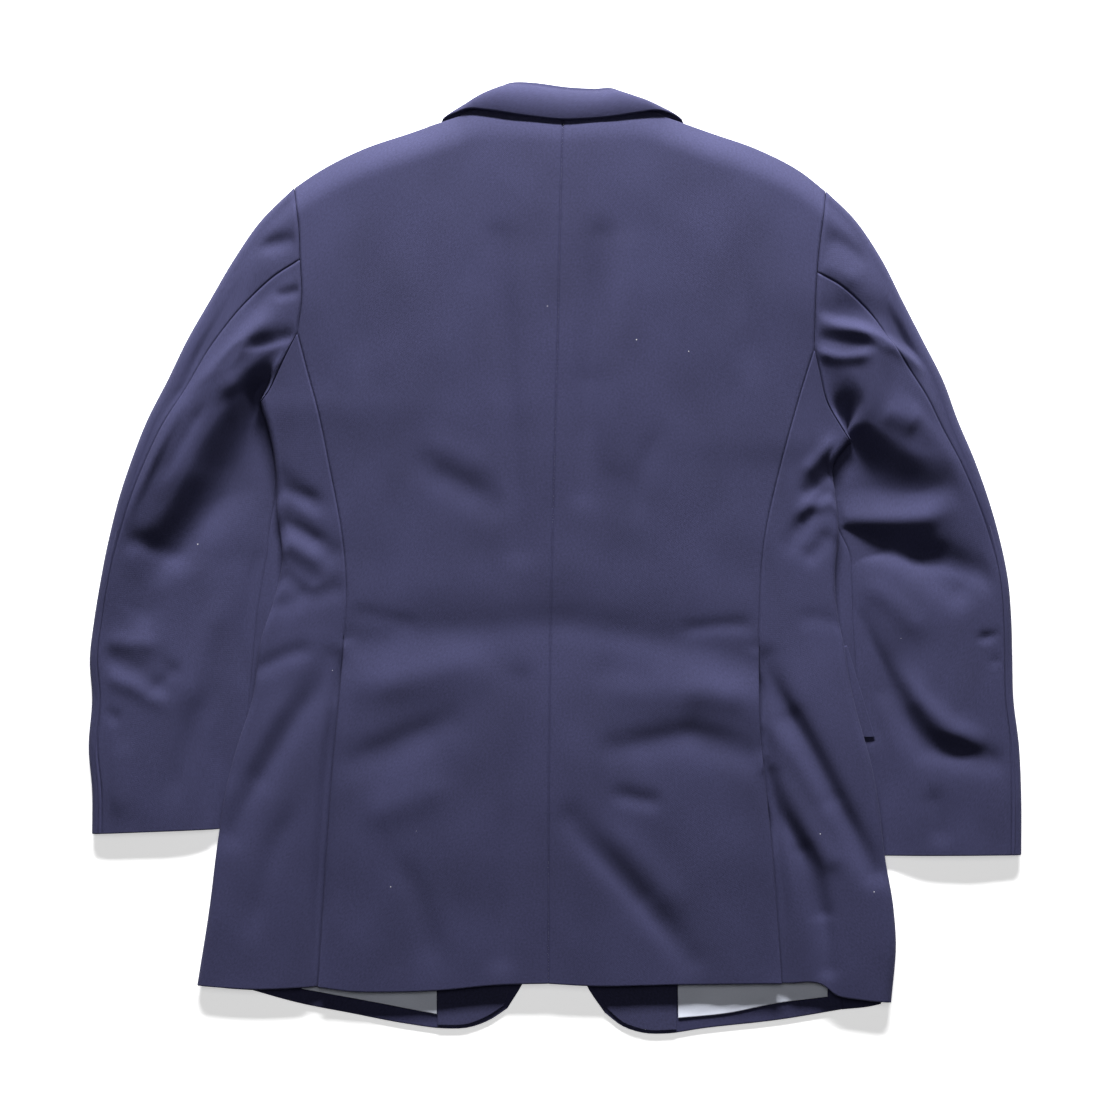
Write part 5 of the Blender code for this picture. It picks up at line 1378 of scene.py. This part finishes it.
# Stitches, by geometry nodes
def makeStitchTree():
    tree, given, out = newGroup(
        "stitchRow", "GeometryNodeTree",
        (
            ("Geometry", "Geometry", None), ("Spacing", "Float", 0.003), ("Length", "Float", 0.0018),
            ("Thread", "Float", 0.00022), ("Turn", "Float", 0.35), ("Uneven", "Float", 0.2), ("Seed", "Int", 3),
            ("Finish", "Material", None),
        ),
        (("Geometry", "Geometry"),),
    )
    dots = nodeAt(tree, "GeometryNodeCurveToPoints", -900, 200, mode="LENGTH")
    tree.links.new(given["Geometry"], dots.inputs["Curve"])
    tree.links.new(given["Spacing"], dots.inputs["Length"])
    line = nodeAt(
        tree, "GeometryNodeCurvePrimitiveLine", -900, -150, {"Direction": (0, 0, 1), "Length": given["Length"]},
        mode="DIRECTION",
    )
    evenly = nodeAt(tree, "GeometryNodeResampleCurve", -700, -150, {"Curve": line.outputs[0], "Count": 5})
    thread = nodeAt(tree, "GeometryNodeCurvePrimitiveCircle", -700, -380, {
        "Resolution": 6, "Radius": given["Thread"],
    })
    tube = nodeAt(tree, "GeometryNodeCurveToMesh", -480, -200, {
        "Curve": evenly.outputs[0], "Profile Curve": thread.outputs[0], "Fill Caps": True,
    })
    low = mathNode(tree, "MULTIPLY", -900, 420, given["Uneven"], -1.0)
    wobble = nodeAt(
        tree, "FunctionNodeRandomValue", -700, 420, data_type="FLOAT",
        inputs={2: low, 3: given["Uneven"], "Seed": given["Seed"]},
    )
    angle = mathNode(tree, "ADD", -480, 420, wobble.outputs[1], given["Turn"])
    spin = nodeAt(tree, "ShaderNodeCombineXYZ", -300, 420, {0: angle})
    euler = nodeAt(tree, "FunctionNodeEulerToRotation", -180, 480, {0: spin.outputs[0]})
    turned = nodeAt(
        tree, "FunctionNodeRotateRotation", -80, 320, {0: dots.outputs["Rotation"], 1: euler.outputs[0]},
        rotation_space="LOCAL",
    )
    placed = nodeAt(tree, "GeometryNodeInstanceOnPoints", 120, 120, {
        "Points": dots.outputs["Points"], "Instance": tube.outputs[0], "Rotation": turned.outputs[0],
    })
    real = nodeAt(tree, "GeometryNodeRealizeInstances", 360, 120, {0: placed.outputs[0]})
    dressed = nodeAt(tree, "GeometryNodeSetMaterial", 600, 120, {
        "Geometry": real.outputs[0], "Material": given["Finish"],
    })
    tree.links.new(dressed.outputs[0], out[0])
    return tree


stitchTree = makeStitchTree()


def stitchRows(name, paths, slotName, **values):
    # one plain mesh of stitches along some paths, given in millimetres
    curve = bpy.data.curves.new(name + "Path", "CURVE")
    curve.dimensions = "3D"
    for path in paths:
        spline = curve.splines.new("POLY")
        spline.points.add(len(path) - 1)
        for point, at in zip(spline.points, path):
            point.co = (*(np.asarray(at, float) * mm), 1)
    guide = addObject(name + "Path", curve)
    rows = guide.modifiers.new("stitches", "NODES")
    rows.node_group = stitchTree
    sockets = {item.name: item.identifier for item in stitchTree.interface.items_tree if item.in_out == "INPUT"}
    for key, value in {"Finish": navyThread, **values}.items():
        rows[sockets[key]] = value
    mesh = bpy.data.meshes.new_from_object(guide.evaluated_get(bpy.context.evaluated_depsgraph_get()))
    guide.modifiers.clear()
    bpy.data.objects.remove(guide)
    mesh.shade_smooth()
    made = addObject(name, mesh)
    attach(made, "root")


buttonStitch = {"Spacing": 0.0006, "Length": 0.0009, "Thread": 0.00020, "Turn": 0.0, "Uneven": 0.05}
liningStitch = {"Spacing": 0.0042, "Length": 0.0022, "Thread": 0.00018, "Turn": 0.5, "Uneven": 0.25}
buttonThreads = []
for name, place in buttonPlaces.items():
    holes = np.array(makeButton(name, place))
    for start, end in ((holes[0], holes[3]), (holes[1], holes[2])):
        run = end - start
        for shift in (-0.22, 0.22):
            across = np.array([-run[1], run[0]]) / np.linalg.norm(run) * shift
            arch = [(*(start + run * t + across), 0.52 - 0.30 * np.sin(np.pi * t)) for t in np.linspace(0, 1, 9)]
            buttonThreads.append(arch)
stitchRows("buttonThread", buttonThreads, "button", **buttonStitch)

liningStitches = []
for side in (-1, 1):
    lower = alongLine(sorted(lining[side][1]), np.linspace(0.01, 0.99, 60))
    liningStitches.append([(x, y - 0.15, z + 0.35) for (x, y), z in zip(lower, onFront(lower, side))])
stitchRows("liningFelling", liningStitches, "lining", **liningStitch)
print("buttons and stitches made")


# Floor, light and camera
floorLook = {"half": 4, "paper": 0.92, "glow": 0.5}
light = {
    "windowPlace": (0.05, 3.20, 1.22), "windowSize": (1.8, 0.46), "windowPower": 485.0, "windowAim": (0, 0.05, 0),
    "fillPlace": (0.0, 0.3, 1.6), "fillSize": (0.8, 0.8), "fillPower": 5.0, "fillAim": (0, 0, 0), "sky": 0.04,
}
photo = {"centre": (-0.0044, 0.0084), "wide": 0.968, "lens": 85.0, "chip": 36.0, "level": 0.014}


def makeFloor():
    half = floorLook["half"]
    mesh = bpy.data.meshes.new("floor")
    mesh.from_pydata([(-half, -half, 0), (half, -half, 0), (half, half, 0), (-half, half, 0)], [], [(0, 1, 2, 3)])
    paper, _, _ = newFinish("whitePaper", {
        "Base Color": (*[floorLook["paper"]] * 3, 1), "Emission Color": (1, 1, 1, 1),
        "Emission Strength": floorLook["glow"], "Roughness": 0.75, "Specular IOR Level": 0.2,
    })
    mesh.materials.append(paper)
    made = addObject("floor", mesh)
    made.location.z = -0.0002


def makeLight(name):
    place, aim = [Vector(light[name + key]) for key in ("Place", "Aim")]
    lamp = bpy.data.lights.new(name, "AREA")
    lamp.shape = "RECTANGLE"
    lamp.size, lamp.size_y = light[name + "Size"]
    lamp.energy = light[name + "Power"]
    made = addObject(name, lamp)
    made.location = place
    made.rotation_euler = (aim - place).to_track_quat("-Z", "Y").to_euler()


makeFloor()
makeLight("window")
makeLight("fill")
sky = bpy.data.worlds.new("softRoom")
sky.use_nodes = True
sky.node_tree.nodes["Background"].inputs[0].default_value = (1.0, 1.0, 1.0, 1)
sky.node_tree.nodes["Background"].inputs[1].default_value = light["sky"]
bpy.context.scene.world = sky
bpy.context.scene.view_settings.view_transform = "Standard"

lens = bpy.data.cameras.new("photoCamera")
lens.lens = photo["lens"]
lens.sensor_width = photo["chip"]
lens.clip_end = 20
camera = addObject("photoCamera", lens)
camera.location = (*photo["centre"], photo["level"] + photo["wide"] * photo["lens"] / photo["chip"])
bpy.context.scene.camera = camera

print("scene ready")
